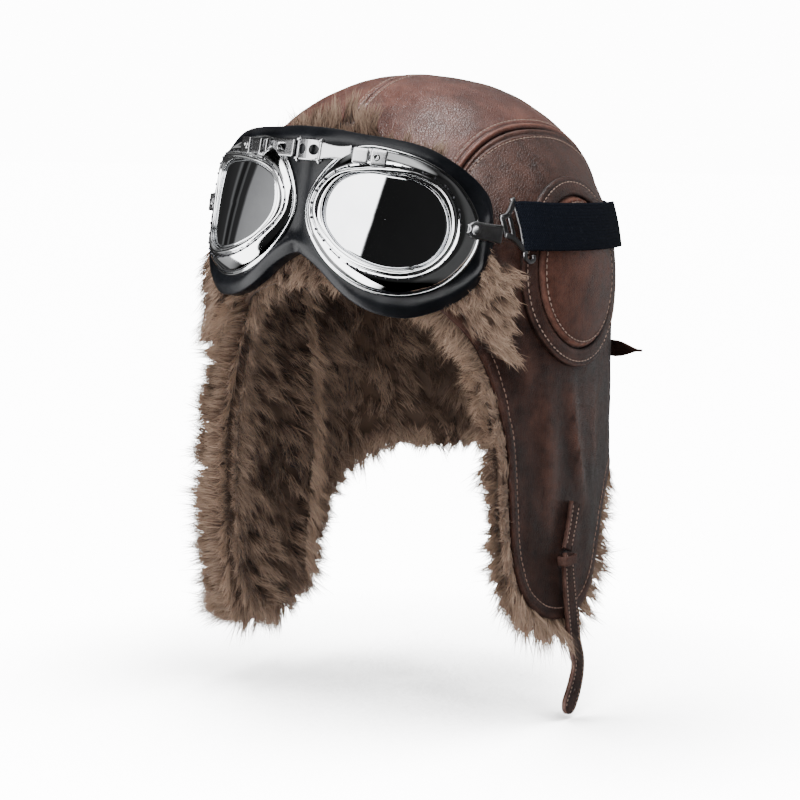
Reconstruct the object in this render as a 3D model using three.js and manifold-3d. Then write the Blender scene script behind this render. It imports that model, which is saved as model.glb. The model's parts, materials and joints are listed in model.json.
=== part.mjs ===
import * as THREE from 'three';
import { mergeVertices } from 'three/addons/utils/BufferGeometryUtils.js';
import Module from 'manifold-3d';

const wasm = await Module();
wasm.setup();

// A leather flying helmet with a fur lining and goggles worn on it. Sizes are in millimetres, +Z is up,
// the face opening looks along -Y and the wearer's left is +X.
// The origin is the inner top of the crown, where the head touches the lining.

// Outer leather shell
const shell = {
  halfWidth: 99, front: 106, back: 114, top: 14, widestLevel: -98, roundness: 2.2, lowTaper: 0.02,
};
const leather = { thickness: 2, seamGap: 0.3, rest: 0.3 };
const rim = { browLevel: -86, browDip: 12, napeLevel: -197 };

// Ear flaps: they hang flatter than the head's curve
const flap = {
  reach: 66, plane: 95, splay: 3, splayFrom: -130, splaySpan: 150, tuckBack: 0.003,
  tuckFront: 0.0012,
};
const flatZone = { top: -105, bottom: -185, frontStart: -110, frontEnd: -85, backStart: 60, backEnd: 85 };
const flapTip = { left: -268, right: -284 };

// Fur lining
const lining = {
  gap: 1.9, thickness: 11, relief: 1.2, longLock: 13, shortLock: 5, lockCentre: 6,
  lockThickness: 4,
};
const liningRing = -45;

// Fur visor across the forehead
const visor = {
  rest: 1.4, thickness: 9, relief: 1.3, endAngle: 54, endLevel: -140, bottomLevel: -89,
  topLevel: -11, padGap: 0.5,
};
const visorFall = { middle: 20, end: 50, lock: 3 };

// Padded ear patches
const ear = {
  centreY: -3, centreZ: -88, halfWidth: 50, halfHeight: 49, innerRadius: 39.5, ringThickness: 1.6,
  rest: 0.6,
};
const earPad = { clearance: 1.3, thickness: 3.5, edgeThickness: 1.8 };

// Goggles: two flat-mounted eyes that meet at a hinge line in front of the brow
const goggles = { hingeY: -119.2, level: -60, pitch: 10, roll: 4, yaw: 30, bridgeRound: 6 };
const eye = { along: 43, up: 7.2, flangeRadius: 40, ringRadius: 32, openingRadius: 28 };
const flangeArch = { rise: 8, centre: 47, half: 47 };
const ringArch = { base: 5, rise: 11, centre: 45, half: 38 };
const frameMetal = { bead: 1.4, wall: 1.1, ringDepth: 3.2, clearDepth: 30 };
const lens = { clearance: 0.35, setBack: 1.5, thickness: 1.7, sag: 0.6 };
const pad = {
  halfSpan: 98.4, top: 49, bottom: 39, centreThickness: 9, endThickness: 4.2, edgeRound: 5,
  rest: 0.3,
};
const eyeTunnel = { share: 0.94, depth: 30 };
const bridge = {
  level: 37, height: 10.5, halfLink: 6.2, plateStart: 6.9, plateEnd: 22, thickness: 1.4, plateTrim: 1.5,
  hole: 2.6, rod: 1.1, rest: 0.3,
};
const lug = { start: 22.5, end: 40, height: 8.5, thickness: 4.2, below: 1.8 };
const sideLink = { onFlange: 6.6, beyond: 3.1, level: 9.3, height: 9.5, thickness: 1.8 };
const hook = { padGap: 5.9, length: 11.5, frontHalf: 5, backHalf: 13.5, frontLift: 6.8, backLift: 4.3 };
const hookMetal = { thickness: 1.8, bar: 3, strapGap: 0.35 };

// Elastic strap
const strap = { width: 23, thickness: 1.7, level: -57.5, tilt: 5, backDrop: 6, rest: 0.6, overEar: 4.7 };

// Chin straps
const chin = { anchorY: -8, aboveTip: 60, length: 110, width: 11, thickness: 2.4, rest: 0.4 };
const keeper = { wall: 1.2, width: 5, slack: 0.3, roof: 0.4 };
const chinBuckle = { width: 20, height: 15, bar: 2.4, thickness: 2.2 };

// Strap round the nape, with a loose pointed tail
const nape = {
  level: -137, width: 14, thickness: 2, startAngle: 226, tailAngle: 150, tailLength: 51,
  tailLift: 1.5,
};
const napeBuckle = { angle: 162, length: 12, bar: 2.4, gap: 0.35, cutDepth: 20 };

// Lower edge of a flap from brow to nape. reach is a share of flap.reach along Y, drop a share of the way
// from the brow (or the nape) down to the flap's tip, seam the place on the side seam where the rib starts.
const flapEdge = [
  { reach: -1.30, from: 'brow', drop: 0.10, seam: 0.15 },
  { reach: -1.15, from: 'brow', drop: 0.187, seam: 0.35 },
  { reach: -1.06, from: 'brow', drop: 0.308, seam: 0.50 },
  { reach: -1.015, from: 'brow', drop: 0.46, seam: 0.60 },
  { reach: -1.00, from: 'brow', drop: 0.626, seam: 0.68 },
  { reach: -0.97, from: 'brow', drop: 0.78, seam: 0.76 },
  { reach: -0.86, from: 'brow', drop: 0.89, seam: 0.84 },
  { reach: -0.62, from: 'brow', drop: 0.967, seam: 0.93 },
  { reach: -0.27, from: 'brow', drop: 1.0, seam: 1.03 },
  { reach: 0.06, from: 'nape', drop: 0.944, seam: 1.13 },
  { reach: 0.30, from: 'nape', drop: 0.732, seam: 1.22 },
  { reach: 0.47, from: 'nape', drop: 0.437, seam: 1.32 },
  { reach: 0.67, from: 'nape', drop: 0.197, seam: 1.45 },
  { reach: 0.94, from: 'nape', drop: 0.07, seam: 1.65 },
  { reach: 1.11, from: 'nape', drop: 0.035, seam: 1.82 },
  { reach: 1.27, from: 'nape', drop: 0.014, seam: 2.02 },
  { reach: 1.42, from: 'nape', drop: 0.004, seam: 2.45 },
];

// Side seam: half width of the crown strip as a share of shell.halfWidth.
// along is 0 at the brow, 1 over the ears, 2 at the back's widest level and 3 at the nape.
const sideSeam = [
  { along: 0, half: 0.556 },
  { along: 0.5, half: 0.63 },
  { along: 1, half: 0.707 },
  { along: 1.5, half: 0.70 },
  { along: 2, half: 0.626 },
  { along: 3, half: 0.455 },
];

// Outlines of one eye as shares of its three radii, angle 0 pointing away from the nose and 90 up
const eyeOutline = [
  { angle: 0, flange: 1.19, ring: 1.11, opening: 1.16 },
  { angle: 30, flange: 1.045, ring: 1.06, opening: 1.06 },
  { angle: 60, flange: 0.90, ring: 0.878, opening: 0.882 },
  { angle: 90, flange: 0.873, ring: 0.775, opening: 0.804 },
  { angle: 120, flange: 0.975, ring: 0.844, opening: 0.93 },
  { angle: 150, flange: 0.985, ring: 1.07, opening: 1.11 },
  { angle: 180, flange: 1.0, ring: 1.125, opening: 1.115 },
  { angle: 210, flange: 0.91, ring: 0.931, opening: 0.964 },
  { angle: 240, flange: 0.87, ring: 0.828, opening: 0.836 },
  { angle: 270, flange: 0.90, ring: 0.81, opening: 0.832 },
  { angle: 300, flange: 0.9875, ring: 0.906, opening: 0.932 },
  { angle: 330, flange: 1.11, ring: 1.037, opening: 1.118 },
];

// Contour of the face pad: along is a share of pad.halfSpan, top and bottom shares of its two heights
const padContour = [
  { along: 0, top: 1.0, bottom: 0.36 },
  { along: 0.1, top: 0.995, bottom: 0.54 },
  { along: 0.2, top: 0.98, bottom: 0.745 },
  { along: 0.3, top: 0.975, bottom: 0.89 },
  { along: 0.4, top: 0.97, bottom: 0.975 },
  { along: 0.5, top: 0.955, bottom: 1.0 },
  { along: 0.6, top: 0.92, bottom: 0.985 },
  { along: 0.7, top: 0.85, bottom: 0.90 },
  { along: 0.8, top: 0.757, bottom: 0.77 },
  { along: 0.9, top: 0.62, bottom: 0.565 },
  { along: 0.96, top: 0.46, bottom: 0.33 },
  { along: 1, top: 0.11, bottom: -0.13 },
];

const rad = THREE.MathUtils.degToRad;
const clamp = THREE.MathUtils.clamp;
const lerp = THREE.MathUtils.lerp;

function smoothStep(from, to, x) {
  const t = clamp((x - from) / (to - from), 0, 1);
  return t * t * (3 - 2 * t);
}

// Value of one column of a table at x, smooth through its rows
function readTable(rows, xName, yName, x) {
  const last = rows.length - 1;
  let k = 0;
  while (k < last - 1 && x > rows[k + 1][xName]) k += 1;
  const a = rows[Math.max(k - 1, 0)];
  const b = rows[k];
  const c = rows[k + 1];
  const d = rows[Math.min(k + 2, last)];
  const span = c[xName] - b[xName];
  const t = clamp((x - b[xName]) / span, 0, 1);
  const slopeB = (c[yName] - a[yName]) / (c[xName] - a[xName]) * span;
  const slopeC = (d[yName] - b[yName]) / (d[xName] - b[xName]) * span;
  const t2 = t * t;
  const t3 = t2 * t;
  return (2 * t3 - 3 * t2 + 1) * b[yName] + (t3 - 2 * t2 + t) * slopeB
    + (3 * t2 - 2 * t3) * c[yName] + (t3 - t2) * slopeC;
}

// Closed geometry from triangles of shared points, with collapsed triangles dropped and faces pointing out
function closedGeometry(points, triangles) {
  const raw = new THREE.BufferGeometry();
  raw.setAttribute('position', new THREE.Float32BufferAttribute(points.flatMap((p) => [p.x, p.y, p.z]), 3));
  raw.setIndex(triangles.flat());
  const welded = mergeVertices(raw, 1e-4);
  const index = welded.getIndex().array;
  const position = welded.getAttribute('position');
  const kept = [];
  let volume = 0;
  const corner = [new THREE.Vector3(), new THREE.Vector3(), new THREE.Vector3()];
  for (let k = 0; k < index.length; k += 3) {
    const [a, b, c] = [index[k], index[k + 1], index[k + 2]];
    if (a === b || b === c || c === a) continue;
    kept.push([a, b, c]);
    [a, b, c].forEach((id, m) => corner[m].fromBufferAttribute(position, id));
    volume += corner[0].dot(corner[1].clone().cross(corner[2]));
  }
  const facing = volume < 0 ? kept.map(([a, b, c]) => [a, c, b]) : kept;
  welded.setIndex(facing.flat());
  return welded;
}

// A sheet with an outer and an inner face. point(i, j, side) places a grid point, side 0 is the outer face.
// With loop the columns close on themselves. A row or column whose points coincide closes to a corner.
function sheetGeometry(columns, rows, point, loop = false) {
  const width = loop ? columns : columns + 1;
  const points = [];
  for (let side = 0; side < 2; side += 1) {
    for (let i = 0; i < width; i += 1) {
      for (let j = 0; j <= rows; j += 1) points.push(point(i, j, side));
    }
  }
  const at = (i, j, side) => side * width * (rows + 1) + (i % width) * (rows + 1) + j;
  const triangles = [];
  const quad = (a, b, c, d) => triangles.push([a, b, c], [a, c, d]);
  for (let i = 0; i < columns; i += 1) {
    for (let j = 0; j < rows; j += 1) {
      quad(at(i, j, 0), at(i + 1, j, 0), at(i + 1, j + 1, 0), at(i, j + 1, 0));
      quad(at(i, j, 1), at(i, j + 1, 1), at(i + 1, j + 1, 1), at(i + 1, j, 1));
    }
    quad(at(i + 1, 0, 0), at(i, 0, 0), at(i, 0, 1), at(i + 1, 0, 1));
    quad(at(i, rows, 0), at(i + 1, rows, 0), at(i + 1, rows, 1), at(i, rows, 1));
  }
  if (!loop) {
    for (let j = 0; j < rows; j += 1) {
      quad(at(0, j, 0), at(0, j + 1, 0), at(0, j + 1, 1), at(0, j, 1));
      quad(at(columns, j + 1, 0), at(columns, j, 0), at(columns, j, 1), at(columns, j + 1, 1));
    }
  }
  return closedGeometry(points, triangles);
}

// A closed section carried round a closed path
function ringGeometry(steps, sides, point) {
  const points = [];
  for (let i = 0; i < steps; i += 1) {
    for (let j = 0; j < sides; j += 1) points.push(point(i, j));
  }
  const at = (i, j) => (i % steps) * sides + (j % sides);
  const triangles = [];
  for (let i = 0; i < steps; i += 1) {
    for (let j = 0; j < sides; j += 1) {
      triangles.push([at(i, j), at(i + 1, j), at(i + 1, j + 1)], [at(i, j), at(i + 1, j + 1), at(i, j + 1)]);
    }
  }
  return closedGeometry(points, triangles);
}

function toManifold(geometry) {
  const bare = geometry.clone();
  bare.deleteAttribute('normal');
  bare.deleteAttribute('uv');
  const merged = mergeVertices(bare, 1e-4);
  return new wasm.Manifold(new wasm.Mesh({
    numProp: 3,
    vertProperties: new Float32Array(merged.getAttribute('position').array),
    triVerts: new Uint32Array(merged.getIndex().array),
  }));
}

function fromManifold(solid) {
  const mesh = solid.getMesh();
  const geometry = new THREE.BufferGeometry();
  geometry.setAttribute('position', new THREE.Float32BufferAttribute(mesh.vertProperties, 3));
  geometry.setIndex(Array.from(mesh.triVerts));
  return geometry;
}

function joined(parts) {
  return fromManifold(parts.map(toManifold).reduce((a, b) => a.add(b)));
}

// Half size of the shell's plan at a level, as a share of the widest
function planShare(z) {
  const t = clamp((z - shell.widestLevel) / (shell.top - shell.widestLevel), 0, 1);
  const below = clamp((shell.widestLevel - z) / 180, 0, 2);
  if (t > 0) return (1 - t ** shell.roundness) ** (1 / shell.roundness);
  return 1 - shell.lowTaper * below;
}

function lengthOf(y) {
  return y < 0 ? shell.front : shell.back;
}

// Half width of the rounded shell at a place seen from the side
function roundHalfWidth(y, z) {
  const share = planShare(z);
  const rest = clamp(1 - Math.abs(y / (lengthOf(y) * share)) ** shell.roundness, 0, 1);
  return shell.halfWidth * share * rest ** (1 / shell.roundness);
}

function flapHalfWidth(y, z) {
  const down = clamp((flap.splayFrom - z) / flap.splaySpan, 0, 1.2);
  const tuck = y > 0 ? flap.tuckBack : flap.tuckFront;
  return flap.plane + flap.splay * down - tuck * y * y;
}

// Bearing of a side place, measured from the front towards +X
function sideAngle(y, z) {
  return Math.atan2(roundHalfWidth(y, z), -y);
}

function basePoint(theta, z) {
  const length = Math.cos(theta) > 0 ? shell.front : shell.back;
  const sine = Math.abs(Math.sin(theta) / shell.halfWidth) ** shell.roundness;
  const cosine = Math.abs(Math.cos(theta) / length) ** shell.roundness;
  const radius = planShare(z) * (sine + cosine) ** (-1 / shell.roundness);
  const x = radius * Math.sin(theta);
  const y = -radius * Math.cos(theta);
  const down = smoothStep(flatZone.top, flatZone.bottom, z);
  const between = smoothStep(flatZone.frontStart, flatZone.frontEnd, y)
    * (1 - smoothStep(flatZone.backStart, flatZone.backEnd, y));
  const flat = down * between;
  return new THREE.Vector3(Math.sign(x) * lerp(Math.abs(x), flapHalfWidth(y, z), flat), y, z);
}

function shellNormal(theta, z, p) {
  if (z >= shell.widestLevel) {
    const rise = shell.top - shell.widestLevel;
    const part = (value, size) => Math.sign(value) * Math.abs(value / size) ** (shell.roundness - 1) / size;
    return new THREE.Vector3(
      part(p.x, shell.halfWidth),
      part(p.y, lengthOf(p.y)),
      part(p.z - shell.widestLevel, rise),
    ).normalize();
  }
  const step = 0.004;
  const round = basePoint(theta + step, z).sub(basePoint(theta - step, z));
  const up = basePoint(theta, z + 0.4).sub(basePoint(theta, z - 0.4));
  return round.cross(up).normalize();
}

// A place on the shell: lift is the distance outward from the leather's outer face
function onShell(theta, z, lift) {
  const p = basePoint(theta, z);
  return p.addScaledVector(shellNormal(theta, z, p.clone()), lift);
}

function onSide(y, z, lift, side) {
  return onShell(side * sideAngle(y, z), z, lift);
}

// Bearing and level of a place on the crown strip, half its distance from the middle seam
function crownPlace(half, along) {
  const share = Math.min(half / shell.halfWidth, 1);
  const arc = (1 - share ** shell.roundness) ** (1 / shell.roundness);
  const rise = shell.top - shell.widestLevel;
  const power = 2 / shell.roundness;
  const browLevel = rim.browLevel - rim.browDip * (half / (sideSeam[0].half * shell.halfWidth)) ** 2;
  if (along > 2) {
    const z = lerp(shell.widestLevel, rim.napeLevel, along - 2);
    const low = planShare(z);
    const across = (half / (shell.halfWidth * low)) ** shell.roundness;
    const y = shell.back * low * (1 - across) ** (1 / shell.roundness);
    return { theta: Math.atan2(half, -y), z };
  }
  const front = along < 1;
  const browShare = clamp((browLevel - shell.widestLevel) / rise / arc, 0, 1);
  const start = front ? Math.asin(browShare ** (1 / power)) : 0;
  const turn = lerp(start, Math.PI / 2, front ? along : 2 - along);
  const length = front ? shell.front : shell.back;
  const y = (front ? -1 : 1) * length * arc * Math.max(Math.cos(turn), 0) ** power;
  return { theta: Math.atan2(half, -y), z: shell.widestLevel + rise * arc * Math.sin(turn) ** power };
}

function seamHalf(along) {
  return shell.halfWidth * readTable(sideSeam, 'along', 'half', along);
}

// Ribs of one side, from the side seam down to the lower edge, in order from brow to nape
function sideRibs(side, perRow) {
  const tip = side > 0 ? flapTip.left : flapTip.right;
  const rows = flapEdge.map((row, place) => {
    const level = row.from === 'brow' ? rim.browLevel : rim.napeLevel;
    return { place: place + 1, y: row.reach * flap.reach, z: lerp(level, tip, row.drop), seam: row.seam };
  });
  const corner = (along, place) => {
    const at = crownPlace(seamHalf(along), along);
    const p = basePoint(at.theta, at.z);
    return { place, y: p.y, z: p.z, seam: along };
  };
  const all = [corner(0, 0), ...rows, corner(3, rows.length + 1)];
  const count = (all.length - 1) * perRow;
  const ribs = [];
  for (let k = 0; k <= count; k += 1) {
    const place = k / perRow;
    const seam = readTable(all, 'place', 'seam', place);
    const y = readTable(all, 'place', 'y', place);
    const z = readTable(all, 'place', 'z', place);
    const top = crownPlace(seamHalf(seam), seam);
    const isCorner = k === 0 || k === count;
    const low = isCorner ? top : { theta: sideAngle(y, z), z };
    ribs.push({ top, low, seam });
  }
  return ribs;
}

function crownPanel(side) {
  const ribs = sideRibs(side, 2);
  const rows = 4;
  return sheetGeometry(ribs.length - 1, rows, (i, j, face) => {
    const along = ribs[i].seam;
    const inner = leather.seamGap / 2;
    const outer = seamHalf(along) - leather.seamGap / 2;
    const at = crownPlace(lerp(inner, outer, j / rows), along);
    return onShell(side * at.theta, at.z, -face * leather.thickness);
  });
}

function sidePanel(side) {
  const ribs = sideRibs(side, 2);
  const rows = 6;
  const spread = 1.3;
  return sheetGeometry(ribs.length - 1, rows, (i, j, face) => {
    const { top, low } = ribs[i];
    const share = (j / rows) ** spread;
    const drop = leather.seamGap * (1 - share);
    const z = lerp(top.z, low.z, share) - drop;
    return onShell(side * lerp(top.theta, low.theta, share), z, -face * leather.thickness);
  });
}

// Columns of the lining all round the lower edge, starting at the middle of the brow
function liningColumns() {
  const across = 5;
  const half = (side) => {
    const ribs = sideRibs(side, 1);
    const browHalf = seamHalf(0);
    const napeHalf = seamHalf(3);
    const list = [];
    for (let k = 0; k < across; k += 1) list.push(crownPlace(browHalf * k / across, 0));
    const brow = list.map((low) => ({ top: low.theta, low }));
    const flank = ribs.map(({ top, low }) => ({ top: top.theta, low }));
    const back = [];
    for (let k = 1; k <= across; k += 1) {
      const low = crownPlace(napeHalf * (1 - k / across), 3);
      back.push({ top: low.theta, low });
    }
    return [...brow, ...flank, ...back];
  };
  const left = half(1);
  const right = half(-1).slice(1, -1).reverse().map(({ top, low }) => (
    { top: 2 * Math.PI - top, low: { theta: 2 * Math.PI - low.theta, z: low.z } }
  ));
  return [...left, ...right];
}

function furLining() {
  const columns = liningColumns();
  const count = columns.length;
  const outerLift = -(leather.thickness + lining.gap);
  const innerLift = outerLift - lining.thickness;
  const ringShare = (liningRing - shell.widestLevel) / (shell.top - shell.widestLevel);
  const domeRows = 3;
  const skirtRows = 4;
  const edgeOut = 1.3;
  const edgeStep = 2.8;
  const rows = domeRows + skirtRows + 2;
  const scale = (shell.front + shell.back) / 2;
  const away = columns.map((column, i) => {
    const before = columns[(i + count - 1) % count].low;
    const after = columns[(i + 1) % count].low;
    const turn = (after.theta - before.theta + 3 * Math.PI) % (2 * Math.PI) - Math.PI;
    const run = new THREE.Vector2(turn * scale, after.z - before.z).normalize();
    return new THREE.Vector2(run.y, -run.x);
  });
  const place = (i, j) => {
    const { top, low } = columns[i];
    if (j <= domeRows) {
      const turn = lerp(Math.PI / 2, Math.asin(ringShare ** (shell.roundness / 2)), j / domeRows);
      const z = shell.widestLevel + (shell.top - shell.widestLevel) * Math.sin(turn) ** (2 / shell.roundness);
      return { theta: top, z };
    }
    const share = Math.min((j - domeRows) / skirtRows, 1);
    const edge = [edgeOut, edgeStep, i % 2 ? lining.longLock : lining.shortLock];
    const out = edge[Math.max(j - domeRows - skirtRows, 0)];
    const beyond = j >= domeRows + skirtRows ? out : 0;
    return {
      theta: lerp(top, low.theta, share) + beyond * away[i].x / scale,
      z: lerp(liningRing, low.z, share) + beyond * away[i].y,
    };
  };
  return sheetGeometry(count, rows, (i, j, face) => {
    const at = j === 0 ? { theta: 0, z: shell.top } : place(i, j);
    const lock = j > 1 ? lining.relief * ((i + j) % 2 ? 1 : -1) : 0;
    let lift = face ? innerLift + lock : outerLift;
    if (j === rows - 1) lift = face ? innerLift + 1 : -0.6;
    if (j === rows) lift = -(lining.lockCentre + (face ? 0.5 : -0.5) * lining.lockThickness);
    return onShell(at.theta, at.z, lift);
  }, true);
}

function earRing(side) {
  const steps = 26;
  return ringGeometry(steps, 4, (i, j) => {
    const turn = 2 * Math.PI * i / steps;
    const outer = j === 0 || j === 3;
    const lift = ear.rest + (j > 1 ? ear.ringThickness : 0);
    const reach = outer ? ear.halfWidth : ear.innerRadius;
    const height = outer ? ear.halfHeight : ear.innerRadius;
    return onSide(ear.centreY + reach * Math.cos(turn), ear.centreZ + height * Math.sin(turn), lift, side);
  });
}

function earCushion(side) {
  const steps = 20;
  const rings = 3;
  const radius = ear.innerRadius - earPad.clearance;
  return sheetGeometry(steps, rings, (i, j, face) => {
    const turn = 2 * Math.PI * i / steps;
    const share = j / rings;
    const crown = lerp(earPad.thickness, earPad.edgeThickness, share ** 2);
    const lift = ear.rest + (face ? 0 : crown);
    const reach = radius * share;
    return onSide(ear.centreY + reach * Math.cos(turn), ear.centreZ + reach * Math.sin(turn), lift, side);
  }, true);
}

// A place on the goggles: along from the hinge line, up from its middle, lift out of the eyes' plane
function onGoggles(along, up, lift) {
  const yaw = rad(goggles.yaw);
  const pitch = rad(goggles.pitch);
  const roll = rad(goggles.roll);
  const bent = Math.hypot(along, goggles.bridgeRound);
  const slope = Math.sin(yaw) * along / bent;
  const normal = new THREE.Vector2(slope, -Math.cos(yaw)).normalize();
  const x = along * Math.cos(yaw) + lift * normal.x;
  const y = (bent - goggles.bridgeRound) * Math.sin(yaw) + lift * normal.y;
  const back = y * Math.cos(pitch) + up * Math.sin(pitch);
  const high = up * Math.cos(pitch) - y * Math.sin(pitch);
  return new THREE.Vector3(
    x * Math.cos(roll) + high * Math.sin(roll),
    goggles.hingeY + back,
    goggles.level + high * Math.cos(roll) - x * Math.sin(roll),
  );
}

// Frame of reference on the goggles for flat fittings: X away from the hinge, Y up, Z out
function gogglesMatrix(along, up, lift) {
  const origin = onGoggles(along, up, lift);
  const side = onGoggles(along + 0.5, up, lift).sub(onGoggles(along - 0.5, up, lift)).normalize();
  const high = onGoggles(along, up + 0.5, lift).sub(onGoggles(along, up - 0.5, lift)).normalize();
  const out = side.clone().cross(high).normalize();
  return new THREE.Matrix4().makeBasis(side, high, out).setPosition(origin);
}

function flangeLift(along) {
  return flangeArch.rise * (1 - ((Math.abs(along) - flangeArch.centre) / flangeArch.half) ** 2);
}

function ringLift(along) {
  return ringArch.base + ringArch.rise * (1 - ((Math.abs(along) - ringArch.centre) / ringArch.half) ** 2);
}

function eyeRadius(name, size, turn) {
  const rows = [...eyeOutline, { ...eyeOutline[0], angle: 360 }];
  const before = { ...eyeOutline[eyeOutline.length - 1], angle: -30 };
  const after = { ...eyeOutline[1], angle: 390 };
  return size * readTable([before, ...rows, after], 'angle', name, THREE.MathUtils.radToDeg(turn));
}

function eyePlace(side, turn, radius, liftOf) {
  const along = eye.along + radius * Math.cos(turn);
  return onGoggles(side * along, eye.up + radius * Math.sin(turn), liftOf(along));
}

// One eye's metal dish, from its beaded flange up to the lens ring. grow gives the space that fittings on it
// keep free: the same form a little larger, and solid behind.
function lensFrame(side, grow = 0) {
  const steps = 22;
  const front = [
    { from: 'flange', share: 1, inset: -grow, lift: grow ? -frameMetal.clearDepth : 0 },
    { from: 'flange', share: 1, inset: 0.5 - grow, lift: frameMetal.bead + grow },
    { from: 'flange', share: 1, inset: 2.6, lift: frameMetal.bead + grow },
    { from: 'blend', share: 0.45, inset: 0, lift: 1.2 + grow },
    { from: 'ring', share: 0, inset: -0.4 - grow, lift: -0.8 + grow },
    { from: 'ring', share: 0, inset: 0.9, lift: grow },
    { from: 'opening', share: 0, inset: 0, lift: -0.5 + grow },
  ];
  const back = [
    { from: 'opening', share: 0, inset: 0, lift: -frameMetal.ringDepth - 0.6 },
    { from: 'blend', share: 0.45, inset: 0, lift: 1.2 - frameMetal.wall },
    { from: 'flange', share: 1, inset: 3, lift: 0 },
  ];
  const behind = back.map((row) => ({ ...row, lift: grow ? -frameMetal.clearDepth : row.lift }));
  const section = [...front, ...behind];
  return ringGeometry(steps, section.length, (i, j) => {
    const turn = 2 * Math.PI * i / steps;
    const flange = eyeRadius('flange', eye.flangeRadius, turn);
    const ring = eyeRadius('ring', eye.ringRadius, turn);
    const opening = eyeRadius('opening', eye.openingRadius, turn);
    const { from, share, inset, lift } = section[j];
    if (from === 'opening') return eyePlace(side, turn, opening, (s) => ringLift(s) + lift);
    const radius = lerp(ring, flange, share) - inset;
    return eyePlace(side, turn, radius, (s) => lerp(ringLift(s), flangeLift(s), share) + lift);
  });
}

function lensGlass(side) {
  const steps = 24;
  const rings = 2;
  return sheetGeometry(steps, rings, (i, j, face) => {
    const turn = 2 * Math.PI * i / steps;
    const share = j / rings;
    const radius = (eyeRadius('opening', eye.openingRadius, turn) - lens.clearance) * share;
    const back = lens.setBack + (face ? lens.thickness : 0) + lens.sag * share * share - lens.sag;
    return eyePlace(side, turn, radius, (s) => ringLift(s) - back);
  }, true);
}

// The pad's body between its contour lines; grow widens it all round and behind as a cutting form
function padBody(columns, rows, grow) {
  const halfSpan = pad.halfSpan + grow;
  return sheetGeometry(columns, rows, (i, j, face) => {
    const along = -halfSpan * Math.cos(Math.PI * i / columns);
    const share = Math.abs(along) / halfSpan;
    const top = pad.top * readTable(padContour, 'along', 'top', share) + grow;
    const bottom = -pad.bottom * readTable(padContour, 'along', 'bottom', share) - grow;
    const end = share > 0.9999;
    const up = end ? (top + bottom) / 2 : lerp(bottom, top, (1 - Math.cos(Math.PI * j / rows)) / 2);
    const inside = Math.min(up - bottom, top - up, (halfSpan - Math.abs(along)) * 1.5);
    const full = Math.sqrt(1 - (1 - clamp(inside / pad.edgeRound, 0, 1)) ** 2);
    const thickness = lerp(pad.centreThickness, pad.endThickness, share ** 1.3);
    const middle = flangeLift(along) - pad.rest - thickness / 2;
    const half = (0.28 + 0.22 * full) * thickness;
    return onGoggles(along, up, face ? middle - half - grow : middle + half);
  });
}

function eyeTunnelForm(side) {
  const steps = 20;
  return sheetGeometry(steps, 1, (i, j, face) => {
    const turn = 2 * Math.PI * i / steps;
    const radius = eyeRadius('opening', eye.openingRadius, turn) * eyeTunnel.share * j;
    return eyePlace(side, turn, radius, () => (face ? -eyeTunnel.depth : eyeTunnel.depth));
  }, true);
}

function facePad() {
  let body = toManifold(padBody(30, 4, 0));
  for (const side of [1, -1]) body = body.subtract(toManifold(eyeTunnelForm(side)));
  return fromManifold(body);
}

// A flat plate seated on one eye's dish, following the goggles' arch
function gogglesPlate(side, start, end, level, height, lift, thickness) {
  const columns = 3;
  const plate = sheetGeometry(columns, 1, (i, j, face) => {
    const along = lerp(start, end, i / columns);
    const up = level + (j - 0.5) * height;
    return onGoggles(side * along, up, flangeLift(along) + lift + (face ? 0 : thickness));
  });
  return fromManifold(toManifold(plate).subtract(toManifold(lensFrame(side, bridge.rest))));
}

function bridgeLink() {
  const lift = flangeLift(0) + frameMetal.bead + bridge.rest;
  const outline = new THREE.Shape();
  outline.moveTo(-bridge.halfLink, -bridge.height / 2);
  outline.lineTo(bridge.halfLink, -bridge.height / 2);
  outline.lineTo(bridge.halfLink, bridge.height / 2);
  outline.lineTo(-bridge.halfLink, bridge.height / 2);
  outline.closePath();
  for (const side of [-1, 1]) {
    const hole = new THREE.Path();
    hole.absarc(side * bridge.hole * 1.2, 0, bridge.hole, 0, 2 * Math.PI, true);
    outline.holes.push(hole);
  }
  const plate = new THREE.ExtrudeGeometry(outline, {
    depth: bridge.thickness, bevelEnabled: false, curveSegments: 6,
  });
  const rods = [-1, 1].map((side) => {
    const rod = new THREE.CylinderGeometry(bridge.rod, bridge.rod, bridge.height + 2, 8);
    return rod.translate(side * bridge.halfLink, 0, bridge.thickness / 2);
  });
  return joined([plate, ...rods]).applyMatrix4(gogglesMatrix(0, bridge.level, lift));
}

function bridgePlate(side) {
  const { plateStart, plateEnd, level, height, plateTrim, thickness } = bridge;
  const lift = frameMetal.bead + bridge.rest;
  return gogglesPlate(side, plateStart, plateEnd, level, height - plateTrim, lift, thickness);
}

function bridgeLug(side) {
  const level = bridge.level - lug.below;
  const lift = frameMetal.bead + bridge.rest;
  return gogglesPlate(side, lug.start, lug.end, level, lug.height, lift, lug.thickness);
}

function linkPlate(side) {
  const { onFlange, beyond, level, height, thickness } = sideLink;
  const start = eye.along + eye.flangeRadius * eyeOutline[0].flange - onFlange;
  const end = pad.halfSpan + beyond;
  return gogglesPlate(side, start, end, level, height, frameMetal.bead + bridge.rest, thickness);
}

function strapLevel(theta) {
  return strap.level - strap.tilt * Math.sin(theta) - strap.backDrop * (1 - Math.cos(theta)) / 2;
}

// Where a hook buckle starts and ends along Y, behind the back of the face pad's end
function hookSpan(side) {
  const padBack = flangeLift(pad.halfSpan) - pad.rest - pad.endThickness;
  const front = onGoggles(side * pad.halfSpan, 0, padBack).y + hook.padGap;
  return { front, back: front + hook.length };
}

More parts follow.
